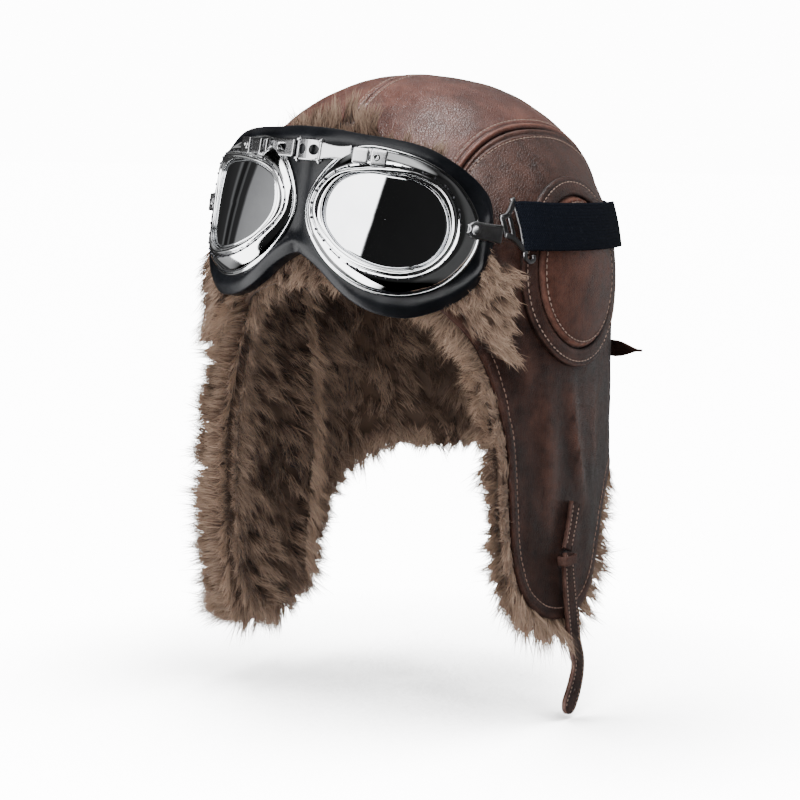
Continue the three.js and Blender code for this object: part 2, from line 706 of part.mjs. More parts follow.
// Trapezoid hook buckle lying on the helmet's side between the link plate and the strap
function hookBuckle(side) {
  const columns = 4;
  const { front, back } = hookSpan(side);
  const level = strapLevel(side * sideAngle(back, strap.level));
  const form = (inset) => sheetGeometry(columns, 2, (i, j, face) => {
    const share = i / columns;
    const y = lerp(front + inset, back - inset, share);
    const half = lerp(hook.frontHalf, hook.backHalf, (y - front) / hook.length) - inset;
    const reach = inset ? hookMetal.thickness : 0;
    const lift = lerp(hook.frontLift, hook.backLift, share) + (face ? -reach : hookMetal.thickness + reach);
    return onSide(y, level + (j - 1) * half, lift, side);
  });
  return fromManifold(toManifold(form(0)).subtract(toManifold(form(hookMetal.bar))));
}

function elasticStrap() {
  const columns = 33;
  const rows = 2;
  const endY = hookSpan(1).back + hookMetal.strapGap;
  const nearLevel = strapLevel(sideAngle(endY, strap.level));
  const farLevel = strapLevel(-sideAngle(endY, strap.level));
  return sheetGeometry(columns, rows, (i, j, face) => {
    const across = (j / rows - 0.5) * strap.width;
    const start = sideAngle(endY, nearLevel + across);
    const end = 2 * Math.PI - sideAngle(endY, farLevel + across);
    const theta = lerp(start, end, i / columns);
    const z = strapLevel(theta) + across;
    const y = basePoint(theta, z).y;
    const over = 1 - smoothStep(ear.halfWidth - 6, ear.halfWidth + 12, Math.abs(y - ear.centreY));
    return onShell(theta, z, strap.rest + strap.overEar * over + (face ? 0 : strap.thickness));
  });
}

// A flat strap on the side of a flap: stations give y, z, lift and half width
function flapStrap(stations, side, thickness) {
  const last = stations.length - 1;
  return sheetGeometry(last, 2, (i, j, face) => {
    const here = stations[i];
    const before = stations[Math.max(i - 1, 0)];
    const after = stations[Math.min(i + 1, last)];
    const run = new THREE.Vector2(after.y - before.y, after.z - before.z).normalize();
    const y = here.y + (j - 1) * here.half * run.y;
    const z = here.z - (j - 1) * here.half * run.x;
    return onSide(y, z, here.lift + (face ? 0 : thickness), side);
  });
}

// Smooth stations through the rows of a route, with a rounded tip where its length ends
function strapStations(route, count, tipRound) {
  const rows = route.map((row, place) => ({ ...row, place }));
  const stations = [];
  for (let k = 0; k <= count; k += 1) {
    const place = (rows.length - 1) * k / count;
    const read = (name) => readTable(rows, 'place', name, place);
    stations.push({ y: read('y'), z: read('z'), lift: read('lift'), half: read('half') });
  }
  if (tipRound) {
    const tip = stations[count];
    stations.forEach((station) => {
      const left = Math.hypot(station.y - tip.y, station.z - tip.z);
      const share = clamp(left / tip.half, 0, 1);
      station.half *= Math.max(Math.sqrt(1 - (1 - share) ** 2), 0.25);
    });
  }
  return stations;
}

// Routes of the chin straps from their anchor: back and down are shares of chin.length, lift a share of
// chin.thickness, half a share of chin.width
const tabRoute = [
  { back: 0, down: 0, lift: 0, half: 0.41 },
  { back: -0.041, down: 0.109, lift: 0, half: 0.355 },
  { back: -0.0864, down: 0.2136, lift: 0, half: 0.336 },
];
const keeperRoute = [{ back: -0.1, down: 0.259, lift: 0, half: 0.5 }];
const leftRoute = [
  { back: -0.091, down: 0.2255, lift: 0.625, half: 0.39 },
  { back: -0.1, down: 0.291, lift: 0.625, half: 0.427 },
  { back: -0.0727, down: 0.459, lift: 0.417, half: 0.5 },
  { back: -0.0364, down: 0.6545, lift: 0.333, half: 0.5 },
  { back: -0.0045, down: 0.773, lift: 0.458, half: 0.5 },
  { back: -0.0364, down: 0.882, lift: 0.333, half: 0.568 },
  { back: -0.109, down: 1, lift: 0, half: 0.568 },
];
const rightRoute = [
  { back: -0.018, down: 0.036, lift: 0, half: 0.445 },
  { back: -0.059, down: 0.2, lift: 0, half: 0.5 },
  { back: -0.0636, down: 0.327, lift: 0, half: 0.5 },
  { back: -0.0636, down: 0.4, lift: 0, half: 0.5 },
];

function placedRoute(route) {
  return route.map(({ back, down, lift, half }) => ({
    y: chin.anchorY + back * chin.length,
    z: flapTip.left + chin.aboveTip - down * chin.length,
    lift: chin.rest + lift * chin.thickness,
    half: half * chin.width,
  }));
}

function chinTab() {
  return flapStrap(strapStations(placedRoute(tabRoute), 4, false), 1, chin.thickness);
}

function chinStrapLeft() {
  return flapStrap(strapStations(placedRoute(leftRoute), 15, true), 1, chin.thickness);
}

// A closed leather loop round the strap just under its tab
function chinKeeper() {
  const { y, z } = placedRoute(keeperRoute)[0];
  const strapHere = placedRoute(leftRoute)[1];
  const half = strapHere.half + keeper.slack + chin.rest;
  const low = chin.rest;
  const high = strapHere.lift + chin.thickness + keeper.roof;
  const form = (wall, width) => sheetGeometry(2, 1, (i, j, face) => {
    const across = (i - 1) * (half + wall);
    const down = (j - 0.5) * width;
    return onSide(y + across, z + down, face ? low + keeper.wall - wall : high + wall, 1);
  });
  const outer = toManifold(form(keeper.wall, keeper.width));
  return fromManifold(outer.subtract(toManifold(form(0, keeper.width * 3))));
}

function chinStrapRight() {
  return flapStrap(strapStations(placedRoute(rightRoute), 6, false), -1, chin.thickness);
}

function chinBuckleRight() {
  const end = placedRoute(rightRoute).pop();
  const middle = end.z - chinBuckle.height / 2 - 0.4;
  const form = (inset) => sheetGeometry(2, 1, (i, j, face) => {
    const y = end.y + (i - 1) * (chinBuckle.width / 2 - inset);
    const z = middle + (j - 0.5) * (chinBuckle.height - 2 * inset);
    const reach = inset ? 1 : 0;
    return onSide(y, z, chin.rest + (face ? -reach : chinBuckle.thickness + reach), -1);
  });
  return fromManifold(toManifold(form(0)).subtract(toManifold(form(chinBuckle.bar))));
}

function napeStrap() {
  const columns = 22;
  const wrapShare = 0.68;
  const start = rad(nape.startAngle);
  const leave = rad(nape.tailAngle);
  const from = onShell(leave, nape.level, leather.rest);
  const ahead = onShell(leave - 0.05, nape.level, leather.rest).sub(from).normalize();
  const out = shellNormal(leave, nape.level, basePoint(leave, nape.level));
  return sheetGeometry(columns, 1, (i, j, face) => {
    const share = i / columns;
    const lift = face ? 0 : nape.thickness;
    if (share <= wrapShare) {
      const theta = lerp(start, leave, share / wrapShare);
      return onShell(theta, nape.level + (j - 0.5) * nape.width, leather.rest + lift);
    }
    const gone = (share - wrapShare) / (1 - wrapShare);
    const taper = 1 - smoothStep(0.55, 1.05, gone);
    const up = (j - 0.5) * nape.width * Math.max(taper, 0.12) + nape.tailLift * gone * gone;
    const p = from.clone().addScaledVector(ahead, gone * nape.tailLength);
    p.addScaledVector(out, lift + 2 * nape.tailLift * gone * gone);
    p.z += up;
    return p;
  });
}

// Plain slide buckle that holds the nape strap, open in the middle so that the strap passes through
function napeSlide() {
  const middle = rad(napeBuckle.angle);
  const halfTurn = napeBuckle.length / 2 / shell.back;
  const form = (wall, length) => sheetGeometry(2, 1, (i, j, face) => {
    const theta = middle + (i - 1) * halfTurn * length;
    const z = nape.level + (j - 0.5) * (nape.width + 2 * napeBuckle.gap + 2 * wall);
    const high = leather.rest + nape.thickness + napeBuckle.gap + wall;
    return onShell(theta, z, face ? -1 : high);
  });
  const outer = toManifold(form(napeBuckle.bar, 1)).subtract(toManifold(form(0, 1.5)));
  const keepOff = sheetGeometry(4, 1, (i, j, face) => {
    const theta = middle + (i - 2) * halfTurn;
    const z = nape.level + (j - 0.5) * 4 * nape.width;
    return onShell(theta, z, face ? -napeBuckle.cutDepth : leather.rest);
  });
  return fromManifold(outer.subtract(toManifold(keepOff)));
}

// Fur visor: a thick band on the forehead whose ends run down the temples
function furVisor() {
  const columns = 26;
  const rows = 4;
  const end = rad(visor.endAngle);
  const band = sheetGeometry(columns, rows, (i, j, face) => {
    const turn = lerp(-1, 1, i / columns);
    const theta = turn * end;
    const out = Math.abs(turn);
    const lowest = lerp(visor.bottomLevel, visor.endLevel, smoothStep(0.55, 1, out));
    const sideFall = visorFall.middle * smoothStep(0, 0.62, out);
    const endFall = visorFall.end * smoothStep(0.62, 0.95, out);
    const highest = visor.topLevel - sideFall - endFall;
    const lock = j === rows ? visorFall.lock * (i % 2 ? 1 : -1) : 0;
    const z = lerp(lowest, highest, j / rows) + lock;
    const border = j === 0 || j === rows || i === 0 || i === columns;
    const relief = visor.relief * ((i + j) % 2 ? 1 : -1);
    const thickness = border ? visor.thickness * 0.45 : visor.thickness + relief;
    return onShell(theta, z, visor.rest + (face ? 0 : thickness));
  });
  return fromManifold(toManifold(band).subtract(toManifold(padEnvelope())));
}

// Space kept free for the pad: from just behind its back to well in front of it
function padEnvelope() {
  const grow = pad.rest;
  const halfSpan = pad.halfSpan + grow;
  const columns = 30;
  const rows = 2;
  return sheetGeometry(columns, rows, (i, j, face) => {
    const along = -halfSpan * Math.cos(Math.PI * i / columns);
    const share = Math.abs(along) / halfSpan;
    const top = pad.top * readTable(padContour, 'along', 'top', share) + grow;
    const bottom = -pad.bottom * readTable(padContour, 'along', 'bottom', share) - grow;
    const end = share > 0.9999;
    const up = end ? (top + bottom) / 2 : lerp(bottom, top, j / rows);
    const thickness = lerp(pad.centreThickness, pad.endThickness, share ** 1.3);
    const behind = flangeLift(along) - thickness - pad.rest - visor.padGap;
    return onGoggles(along, up, face ? behind : behind + 60);
  });
}

const finish = {
  crownLeather: { color: 0x6e3d2c, roughness: 0.5, metalness: 0 },
  flapLeather: { color: 0x4b2b22, roughness: 0.5, metalness: 0 },
  fur: { color: 0x6b5443, roughness: 0.95, metalness: 0 },
  blackPad: { color: 0x17181b, roughness: 0.45, metalness: 0 },
  chrome: { color: 0xc9cbcd, roughness: 0.12, metalness: 1 },
  darkMetal: { color: 0x3b3c3e, roughness: 0.3, metalness: 1 },
  mirror: { color: 0x8d9094, roughness: 0.05, metalness: 1 },
  elastic: { color: 0x18191c, roughness: 0.8, metalness: 0 },
};

const helmet = new THREE.Group();

function addPiece(name, geometry, surface) {
  const mesh = new THREE.Mesh(geometry, new THREE.MeshStandardMaterial(surface));
  mesh.name = name;
  helmet.add(mesh);
}

for (const [word, side] of [['left', 1], ['right', -1]]) {
  addPiece(`crown_${word}`, crownPanel(side), finish.crownLeather);
  addPiece(`side_panel_${word}`, sidePanel(side), finish.flapLeather);
  addPiece(`ear_ring_${word}`, earRing(side), finish.flapLeather);
  addPiece(`ear_pad_${word}`, earCushion(side), finish.crownLeather);
  addPiece(`lens_frame_${word}`, lensFrame(side), finish.chrome);
  addPiece(`lens_${word}`, lensGlass(side), finish.mirror);
  addPiece(`bridge_plate_${word}`, bridgePlate(side), finish.chrome);
  addPiece(`bridge_lug_${word}`, bridgeLug(side), finish.chrome);
  addPiece(`link_plate_${word}`, linkPlate(side), finish.darkMetal);
  addPiece(`hook_buckle_${word}`, hookBuckle(side), finish.darkMetal);
}
addPiece('bridge_link', bridgeLink(), finish.darkMetal);
addPiece('face_pad', facePad(), finish.blackPad);
addPiece('goggle_strap', elasticStrap(), finish.elastic);
addPiece('fur_lining', furLining(), finish.fur);
addPiece('fur_visor', furVisor(), finish.fur);
addPiece('chin_tab', chinTab(), finish.flapLeather);
addPiece('chin_keeper', chinKeeper(), finish.flapLeather);
addPiece('chin_strap_left', chinStrapLeft(), finish.flapLeather);
addPiece('chin_strap_right', chinStrapRight(), finish.flapLeather);
addPiece('chin_buckle', chinBuckleRight(), finish.darkMetal);
addPiece('nape_strap', napeStrap(), finish.flapLeather);
addPiece('nape_buckle', napeSlide(), finish.darkMetal);

export default helmet;
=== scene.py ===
import bpy
import json
import math
import numpy as np
from mathutils import Matrix, Vector, noise

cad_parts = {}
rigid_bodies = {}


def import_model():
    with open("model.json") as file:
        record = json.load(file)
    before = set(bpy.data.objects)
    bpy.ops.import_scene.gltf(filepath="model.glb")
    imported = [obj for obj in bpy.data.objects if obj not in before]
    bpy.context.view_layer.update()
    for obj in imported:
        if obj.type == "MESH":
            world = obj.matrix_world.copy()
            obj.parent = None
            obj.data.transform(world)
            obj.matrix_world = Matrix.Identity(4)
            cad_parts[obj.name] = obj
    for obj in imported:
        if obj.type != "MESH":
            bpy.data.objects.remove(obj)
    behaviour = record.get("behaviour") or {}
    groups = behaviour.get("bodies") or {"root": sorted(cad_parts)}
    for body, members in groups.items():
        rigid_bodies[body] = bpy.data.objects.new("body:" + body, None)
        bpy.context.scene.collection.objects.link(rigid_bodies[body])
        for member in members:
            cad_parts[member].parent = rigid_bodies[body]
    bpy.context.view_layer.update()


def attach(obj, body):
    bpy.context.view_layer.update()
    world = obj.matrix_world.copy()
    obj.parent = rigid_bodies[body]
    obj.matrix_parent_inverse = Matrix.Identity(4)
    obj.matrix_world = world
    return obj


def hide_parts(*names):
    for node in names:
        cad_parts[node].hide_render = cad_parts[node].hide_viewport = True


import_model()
print("frame loaded")

mm = 0.001
turnAll = 2 * math.pi
upward = np.array([0.0, 0.0, 1.0])
sideWord = {1: "left", -1: "right"}


def addObject(name, data):
    made = bpy.data.objects.new(name, data)
    bpy.context.scene.collection.objects.link(made)
    return made


# Camera, same place and lens as the photo
cameraSet = {
    "target": (0.0, 0.0, -0.150),
    "distance": 1.25,
    "azimuth": 30.0,
    "elevation": 7.0,
    "lens": 103.5,
    "shift": (-0.025, -0.026),
    "sensor": 36,
    "farthest": 20,
}


def addCamera():
    az = math.radians(cameraSet["azimuth"])
    el = math.radians(cameraSet["elevation"])
    back = Vector((math.sin(az) * math.cos(el), -math.cos(az) * math.cos(el), math.sin(el)))
    right = Vector((math.cos(az), math.sin(az), 0))
    data = bpy.data.cameras.new("camera")
    data.lens = cameraSet["lens"]
    data.sensor_width = cameraSet["sensor"]
    data.shift_x, data.shift_y = cameraSet["shift"]
    data.clip_end = cameraSet["farthest"]
    camera = addObject("camera", data)
    turn = Matrix((right, back.cross(right), back)).transposed().to_4x4()
    place = Vector(cameraSet["target"]) + back * cameraSet["distance"]
    camera.matrix_world = Matrix.Translation(place) @ turn
    bpy.context.scene.camera = camera


addCamera()
print("camera set")


# The helmet's shape, in millimetres, as in the frame
shell = {"halfWidth": 99, "front": 106, "back": 114, "top": 14, "widest": -98, "roundness": 2.2,
         "lowTaper": 0.02, "taperSpan": 180}
rim = {"browLevel": -86, "browDip": 12, "napeLevel": -197}
flap = {"reach": 66, "plane": 95, "splay": 3, "splayFrom": -130, "splaySpan": 150,
        "tuckBack": 0.003, "tuckFront": 0.0012}
flatZone = {"top": -105, "bottom": -185, "frontStart": -110, "frontEnd": -85, "backStart": 60, "backEnd": 85}
flapTip = {"left": -268, "right": -284}
leather = {"thickness": 2.0, "seamGap": 0.3, "rest": 0.3}
ribsPerRow = 6

# share of the flap reach, where it starts, share of the way from there to the tip, place on the side seam
flapEdge = [
    (-1.30, "brow", 0.10, 0.15),
    (-1.15, "brow", 0.187, 0.35),
    (-1.06, "brow", 0.308, 0.50),
    (-1.015, "brow", 0.46, 0.60),
    (-1.00, "brow", 0.626, 0.68),
    (-0.97, "brow", 0.78, 0.76),
    (-0.86, "brow", 0.89, 0.84),
    (-0.62, "brow", 0.967, 0.93),
    (-0.27, "brow", 1.0, 1.03),
    (0.06, "nape", 0.944, 1.13),
    (0.30, "nape", 0.732, 1.22),
    (0.47, "nape", 0.437, 1.32),
    (0.67, "nape", 0.197, 1.45),
    (0.94, "nape", 0.07, 1.65),
    (1.11, "nape", 0.035, 1.82),
    (1.27, "nape", 0.014, 2.02),
    (1.42, "nape", 0.004, 2.45),
]
# half width of the crown strip as a share, along: 0 brow, 1 ears, 2 back, 3 nape
sideSeam = [(0, 0.556), (0.5, 0.63), (1, 0.707), (1.5, 0.70), (2, 0.626), (3, 0.455)]


def smoothStep(low, high, x):
    t = np.clip((np.asarray(x, dtype=float) - low) / (high - low), 0, 1)
    return t * t * (3 - 2 * t)


def blendTo(a, b, t):
    return a + (b - a) * t


def readTable(xs, ys, x):
    # smooth curve through a table, the same one as in the frame
    xs = np.asarray(xs, dtype=float)
    ys = np.asarray(ys, dtype=float)
    x = np.asarray(x, dtype=float)
    last = len(xs) - 1
    k = np.clip(np.searchsorted(xs, x, side="left") - 1, 0, last - 1)
    before = np.maximum(k - 1, 0)
    after = np.minimum(k + 2, last)
    span = xs[k + 1] - xs[k]
    t = np.clip((x - xs[k]) / span, 0, 1)
    slopeB = (ys[k + 1] - ys[before]) / (xs[k + 1] - xs[before]) * span
    slopeC = (ys[after] - ys[k]) / (xs[after] - xs[k]) * span
    t2, t3 = t * t, t * t * t
    return ((2 * t3 - 3 * t2 + 1) * ys[k] + (t3 - 2 * t2 + t) * slopeB
            + (3 * t2 - 2 * t3) * ys[k + 1] + (t3 - t2) * slopeC)


def curve(points, count):
    # smooth line through a few points
    table = np.array(points, dtype=float)
    index = np.arange(len(table))
    at = np.linspace(0, len(table) - 1, count)
    return np.stack([readTable(index, table[:, k], at) for k in range(table.shape[1])], axis=-1)


def readLine(at, measure, line):
    # places on a line of points where a measure along it has the values at
    return np.stack([np.interp(at, measure, line[:, k]) for k in range(line.shape[1])], axis=-1)


def circle(count, start=0):
    return turnAll * (np.arange(count) + start) / count


def quarterRound(x):
    # rise of a quarter circle from 0 at 0 to 1 at 1
    return np.sqrt(np.clip(1 - (1 - np.clip(x, 0, 1)) ** 2, 0, 1))


def roundedBox(turn, power):
    # both coordinates of a square with rounded corners
    return [np.sign(v) * np.abs(v) ** power for v in (np.cos(turn), np.sin(turn))]


def boxLine(power, width, height):
    across, tall = roundedBox(circle(48, 0.5), power)
    return across * width / 2, tall * height / 2


def planShare(z):
    z = np.asarray(z, dtype=float)
    n = shell["roundness"]
    t = np.clip((z - shell["widest"]) / (shell["top"] - shell["widest"]), 0, 1)
    below = np.clip((shell["widest"] - z) / shell["taperSpan"], 0, 2)
    return np.where(t > 0, np.maximum(1 - t ** n, 0) ** (1 / n), 1 - shell["lowTaper"] * below)


def sideAngle(y, z):
    # bearing of a place on the side, from the front towards +X
    y = np.asarray(y, dtype=float)
    n = shell["roundness"]
    share = planShare(z)
    length = np.where(y < 0, shell["front"], shell["back"])
    rest = np.clip(1 - np.abs(y / (length * np.maximum(share, 1e-6))) ** n, 0, 1)
    return np.arctan2(shell["halfWidth"] * share * rest ** (1 / n), -y)


def basePoint(theta, z):
    theta, z = np.broadcast_arrays(np.asarray(theta, dtype=float), np.asarray(z, dtype=float))
    n = shell["roundness"]
    length = np.where(np.cos(theta) > 0, shell["front"], shell["back"])
    sine = np.abs(np.sin(theta) / shell["halfWidth"]) ** n
    cosine = np.abs(np.cos(theta) / length) ** n
    radius = planShare(z) * (sine + cosine) ** (-1 / n)
    x = radius * np.sin(theta)
    y = -radius * np.cos(theta)
    down = smoothStep(flatZone["top"], flatZone["bottom"], z)
    between = smoothStep(flatZone["frontStart"], flatZone["frontEnd"], y) * (
        1 - smoothStep(flatZone["backStart"], flatZone["backEnd"], y))
    flat = down * between
    tuck = np.where(y > 0, flap["tuckBack"], flap["tuckFront"])
    drop = np.clip((flap["splayFrom"] - z) / flap["splaySpan"], 0, 1.2)
    hang = flap["plane"] + flap["splay"] * drop - tuck * y * y
    return np.stack([np.sign(x) * blendTo(np.abs(x), hang, flat), y, z], axis=-1)


def unit(v):
    return v / np.maximum(np.linalg.norm(v, axis=-1, keepdims=True), 1e-9)


def shellNormal(theta, z):
    p = basePoint(theta, z)
    n = shell["roundness"]
    rise = shell["top"] - shell["widest"]
    length = np.where(p[..., 1] < 0, shell["front"], shell["back"])

    def part(value, size):
        return np.sign(value) * np.abs(value / size) ** (n - 1) / size

    high = np.stack([part(p[..., 0], shell["halfWidth"]), part(p[..., 1], length),
                     part(p[..., 2] - shell["widest"], rise)], axis=-1)
    around = basePoint(theta + 0.004, z) - basePoint(theta - 0.004, z)
    up = basePoint(theta, z + 0.4) - basePoint(theta, z - 0.4)
    low = np.cross(around, up)
    return unit(np.where((p[..., 2] >= shell["widest"])[..., None], high, low))


def onShell(theta, z, lift):
    lift = np.asarray(lift, dtype=float)
    return basePoint(theta, z) + shellNormal(theta, z) * lift[..., None]


def onSide(y, z, lift, side):
    return onShell(side * sideAngle(y, z), z, lift)


def crownPlace(half, along):
    # bearing and level of a place on the crown strip
    half = np.asarray(half, dtype=float)
    along = np.asarray(along, dtype=float)
    n = shell["roundness"]
    power = 2 / n
    rise = shell["top"] - shell["widest"]
    arc = (1 - np.minimum(half / shell["halfWidth"], 1) ** n) ** (1 / n)
    brow = rim["browLevel"] - rim["browDip"] * (half / (sideSeam[0][1] * shell["halfWidth"])) ** 2
    start = np.arcsin(np.clip((brow - shell["widest"]) / rise / arc, 0, 1) ** (1 / power))
    front = along < 1
    turn = blendTo(np.where(front, start, 0), math.pi / 2, np.where(front, along, 2 - along))
    length = np.where(front, shell["front"], shell["back"])
    y = np.where(front, -1, 1) * length * arc * np.maximum(np.cos(turn), 0) ** power
    z = shell["widest"] + rise * arc * np.abs(np.sin(turn)) ** power
    lowZ = blendTo(shell["widest"], rim["napeLevel"], along - 2)
    low = planShare(lowZ)
    lowY = shell["back"] * low * np.maximum(1 - (half / (shell["halfWidth"] * low)) ** n, 0) ** (1 / n)
    under = along > 2
    return np.arctan2(half, -np.where(under, lowY, y)), np.where(under, lowZ, z)


def seamHalf(along):
    return shell["halfWidth"] * readTable([r[0] for r in sideSeam], [r[1] for r in sideSeam], along)


def sideRibs(side):
    # ribs from the side seam down to the lower edge, brow to nape
    tip = flapTip[sideWord[side]]
    rows = []
    for reach, start, drop, seam in flapEdge:
        rows.append((reach * flap["reach"], blendTo(rim[start + "Level"], tip, drop), seam))
    ends = []
    for along in (0, 3):
        theta, z = crownPlace(seamHalf(along), along)
        p = basePoint(theta, z)
        ends.append((p[1], p[2], along))
    table = np.array([ends[0], *rows, ends[1]], dtype=float)
    place = np.arange((len(table) - 1) * ribsPerRow + 1) / ribsPerRow
    y, z, seam = (readTable(np.arange(len(table)), table[:, k], place) for k in range(3))
    topTheta, topZ = crownPlace(seamHalf(seam), seam)
    lowTheta = sideAngle(y, z)
    for k in (0, -1):
        lowTheta[k], z[k] = topTheta[k], topZ[k]
    return {"topTheta": topTheta, "topZ": topZ, "lowTheta": lowTheta, "lowZ": z, "seam": seam}


print("shape ready")


# Mesh makers
def gridFaces(across, down, first=0, loop=False):
    # quads of a grid whose points run down first, then across
    columns = np.arange(across)
    following = (columns + 1) % across if loop else columns + 1
    j = np.arange(down)
    a = first + columns[:, None] * (down + 1) + j[None, :]
    b = first + following[:, None] * (down + 1) + j[None, :]
    return np.stack([a, b, b + 1, a + 1], axis=-1).reshape(-1, 4)


def slabParts(outer, inner, loop=False):
    # closed sheet from an outer and an inner grid of points
    columns, rows = outer.shape[0], outer.shape[1]
    across = columns if loop else columns - 1
    down = rows - 1
    size = columns * rows
    faces = [gridFaces(across, down, 0, loop), gridFaces(across, down, size, loop)[:, ::-1]]
    index = np.arange(size).reshape(columns, rows)

    def wall(line):
        a, b = line[:-1], line[1:]
        return np.stack([a, a + size, b + size, b], axis=-1)

    top = np.append(index[:, 0], index[0, 0]) if loop else index[:, 0]
    low = np.append(index[:, -1], index[0, -1]) if loop else index[:, -1]
    faces += [wall(top), wall(low)[:, ::-1]]
    if not loop:
        faces += [wall(index[0, :])[:, ::-1], wall(index[-1, :])]
    points = np.concatenate([outer.reshape(-1, 3), inner.reshape(-1, 3)])
    return points, np.concatenate(faces)


def turnedOut(points, faces):
    # faces pointing out of a closed body
    a, b, c = points[faces[:, 0]], points[faces[:, 1]], points[faces[:, 2]]
    volume = np.einsum("ij,ij->i", a, np.cross(b, c)).sum()
    if faces.shape[1] == 4:
        d = points[faces[:, 3]]
        volume += np.einsum("ij,ij->i", a, np.cross(c, d)).sum()
    return faces[:, ::-1] if volume < 0 else faces


def makeMesh(name, points, faceSets, colours=None, smooth=True):
    points = np.asarray(points, dtype=np.float32).reshape(-1, 3) * mm
    faceSets = [np.asarray(f) for f in faceSets if len(f)]
    corners = np.concatenate([f.reshape(-1) for f in faceSets]).astype(np.int32)
    sizes = np.concatenate([np.full(len(f), f.shape[1]) for f in faceSets])
    starts = np.concatenate([[0], np.cumsum(sizes)[:-1]]).astype(np.int32)
    mesh = bpy.data.meshes.new(name)
    mesh.vertices.add(len(points))
    mesh.vertices.foreach_set("co", points.ravel())
    mesh.loops.add(len(corners))
    mesh.loops.foreach_set("vertex_index", corners)
    mesh.polygons.add(len(starts))
    mesh.polygons.foreach_set("loop_start", starts)
    mesh.update(calc_edges=True)
    for label, values in (colours or {}).items():
        layer = mesh.color_attributes.new(label, "FLOAT_COLOR", "POINT")
        full = np.ones((len(points), 4), dtype=np.float32)
        full[:, :values.shape[1]] = values
        layer.data.foreach_set("color", full.ravel())
    mesh.polygons.foreach_set("use_smooth", np.full(len(starts), smooth))
    mesh.update()
    return mesh


def addPiece(name, mesh, material, nodes=()):
    piece = addObject(name, mesh)
    piece.data.materials.append(material)
    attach(piece, "root")
    if nodes:
        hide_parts(*nodes)
    return piece


def cutHoles(piece, cutters):
    # take closed bodies, each given as points and face sets, out of a piece
    made = [addObject("hole", makeMesh("hole", points, faceSets)) for points, *faceSets in cutters]
    for cutter in made:
        extra = piece.modifiers.new("boolean", "BOOLEAN")
        extra.operation = "DIFFERENCE"
        extra.object = cutter
        extra.solver = "EXACT"
    graph = bpy.context.evaluated_depsgraph_get()
    mesh = bpy.data.meshes.new_from_object(piece.evaluated_get(graph), depsgraph=graph)
    piece.modifiers.clear()
    mesh.name = piece.data.name
    piece.data = mesh
    for cutter in made:
        bpy.data.objects.remove(cutter)


def addSlab(name, outer, inner, material, nodes, slot, colours=None, loop=False, smooth=True):
    points, faces = slabParts(outer, inner, loop)
    mesh = makeMesh(name, points, [turnedOut(points, faces)], colours, smooth)
    return addPiece(name, mesh, material, nodes)


def sheetMarks(outer, wearAndSheen, paintedShade, under=0.0):
    # shares of wear with painted sheen and of painted shade over a sheet, and the same times under on its
    # back
    marks = np.stack([np.broadcast_to(v, outer.shape[:2]) for v in (wearAndSheen, paintedShade)], axis=-1).reshape(-1, 2)
    return {"marks": np.concatenate([marks, marks * under])}


def addParts(name, parts, material, nodes):
    # one piece of several bodies, each given as points, quads and caps where it has them
    points, quads, caps, first = [], [], [], 0
    for part in parts:
        points.append(part[0])
        quads.append(part[1] + first)
        caps += [c + first for c in part[2:] if len(c)]
        first += len(part[0])
    mesh = makeMesh(name, np.concatenate(points), [np.concatenate(quads), *caps])
    return addPiece(name, mesh, material, nodes)


def tubeFaces(rings, sides, closed=False):
    # quads round a run of rings of points, and a cap for each open end
    i = np.arange(rings if closed else rings - 1)[:, None]
    k = np.arange(sides)[None, :]
    j, m = (i + 1) % rings, (k + 1) % sides
    quads = np.stack([i * sides + k, i * sides + m, j * sides + m, j * sides + k], axis=-1).reshape(-1, 4)
    caps = np.stack([np.arange(sides)[::-1], (rings - 1) * sides + np.arange(sides)])
    return quads, caps[:0] if closed else caps


def ringAround(normal, steps):
    # circle of radius 1 across a direction
    turn = circle(steps)[:, None]
    a = unit(np.cross(normal, upward))
    return np.cos(turn) * a + np.sin(turn) * np.cross(normal, a)


def wave(points, size, depth=2, seed=0.0):
    # smooth noise from -1 to 1 at each point, size in mm
    flat = points.reshape(-1, 3) / size + seed
    values = np.array([noise.fractal(Vector(p), 1.0, 2.0, depth) for p in flat])
    return values.reshape(points.shape[:-1])


def nearest(points, line):
    # distance in mm from each point to a dense line of points
    flat = points.reshape(-1, 3)
    best = np.full(len(flat), 1e9)
    for start in range(0, len(line), 64):
        gap = flat[:, None, :] - line[None, start:start + 64, :]
        best = np.minimum(best, np.sqrt((gap ** 2).sum(axis=-1)).min(axis=1))
    return best.reshape(points.shape[:-1])


def drifts(spots, size):
    return np.array([noise.noise(Vector(p / size)) for p in spots])


def bump(distance, centre, width):
    return np.exp(-((distance - centre) / width) ** 2)


# half the stretch of a line from which a stitch takes its direction
stitchReach = 0.4


def resample(line, normals, pitch):
    # places a fixed pitch apart on a line, with its direction and normal there
    total = np.concatenate([[0], np.cumsum(np.linalg.norm(np.diff(line, axis=0), axis=1))])
    count = max(int(total[-1] / pitch), 1)
    at = (np.arange(count) + 0.5) * total[-1] / count
    ahead = readLine(at + stitchReach, total, line) - readLine(at - stitchReach, total, line)
    return readLine(at, total, line), unit(ahead), unit(readLine(at, total, normals))


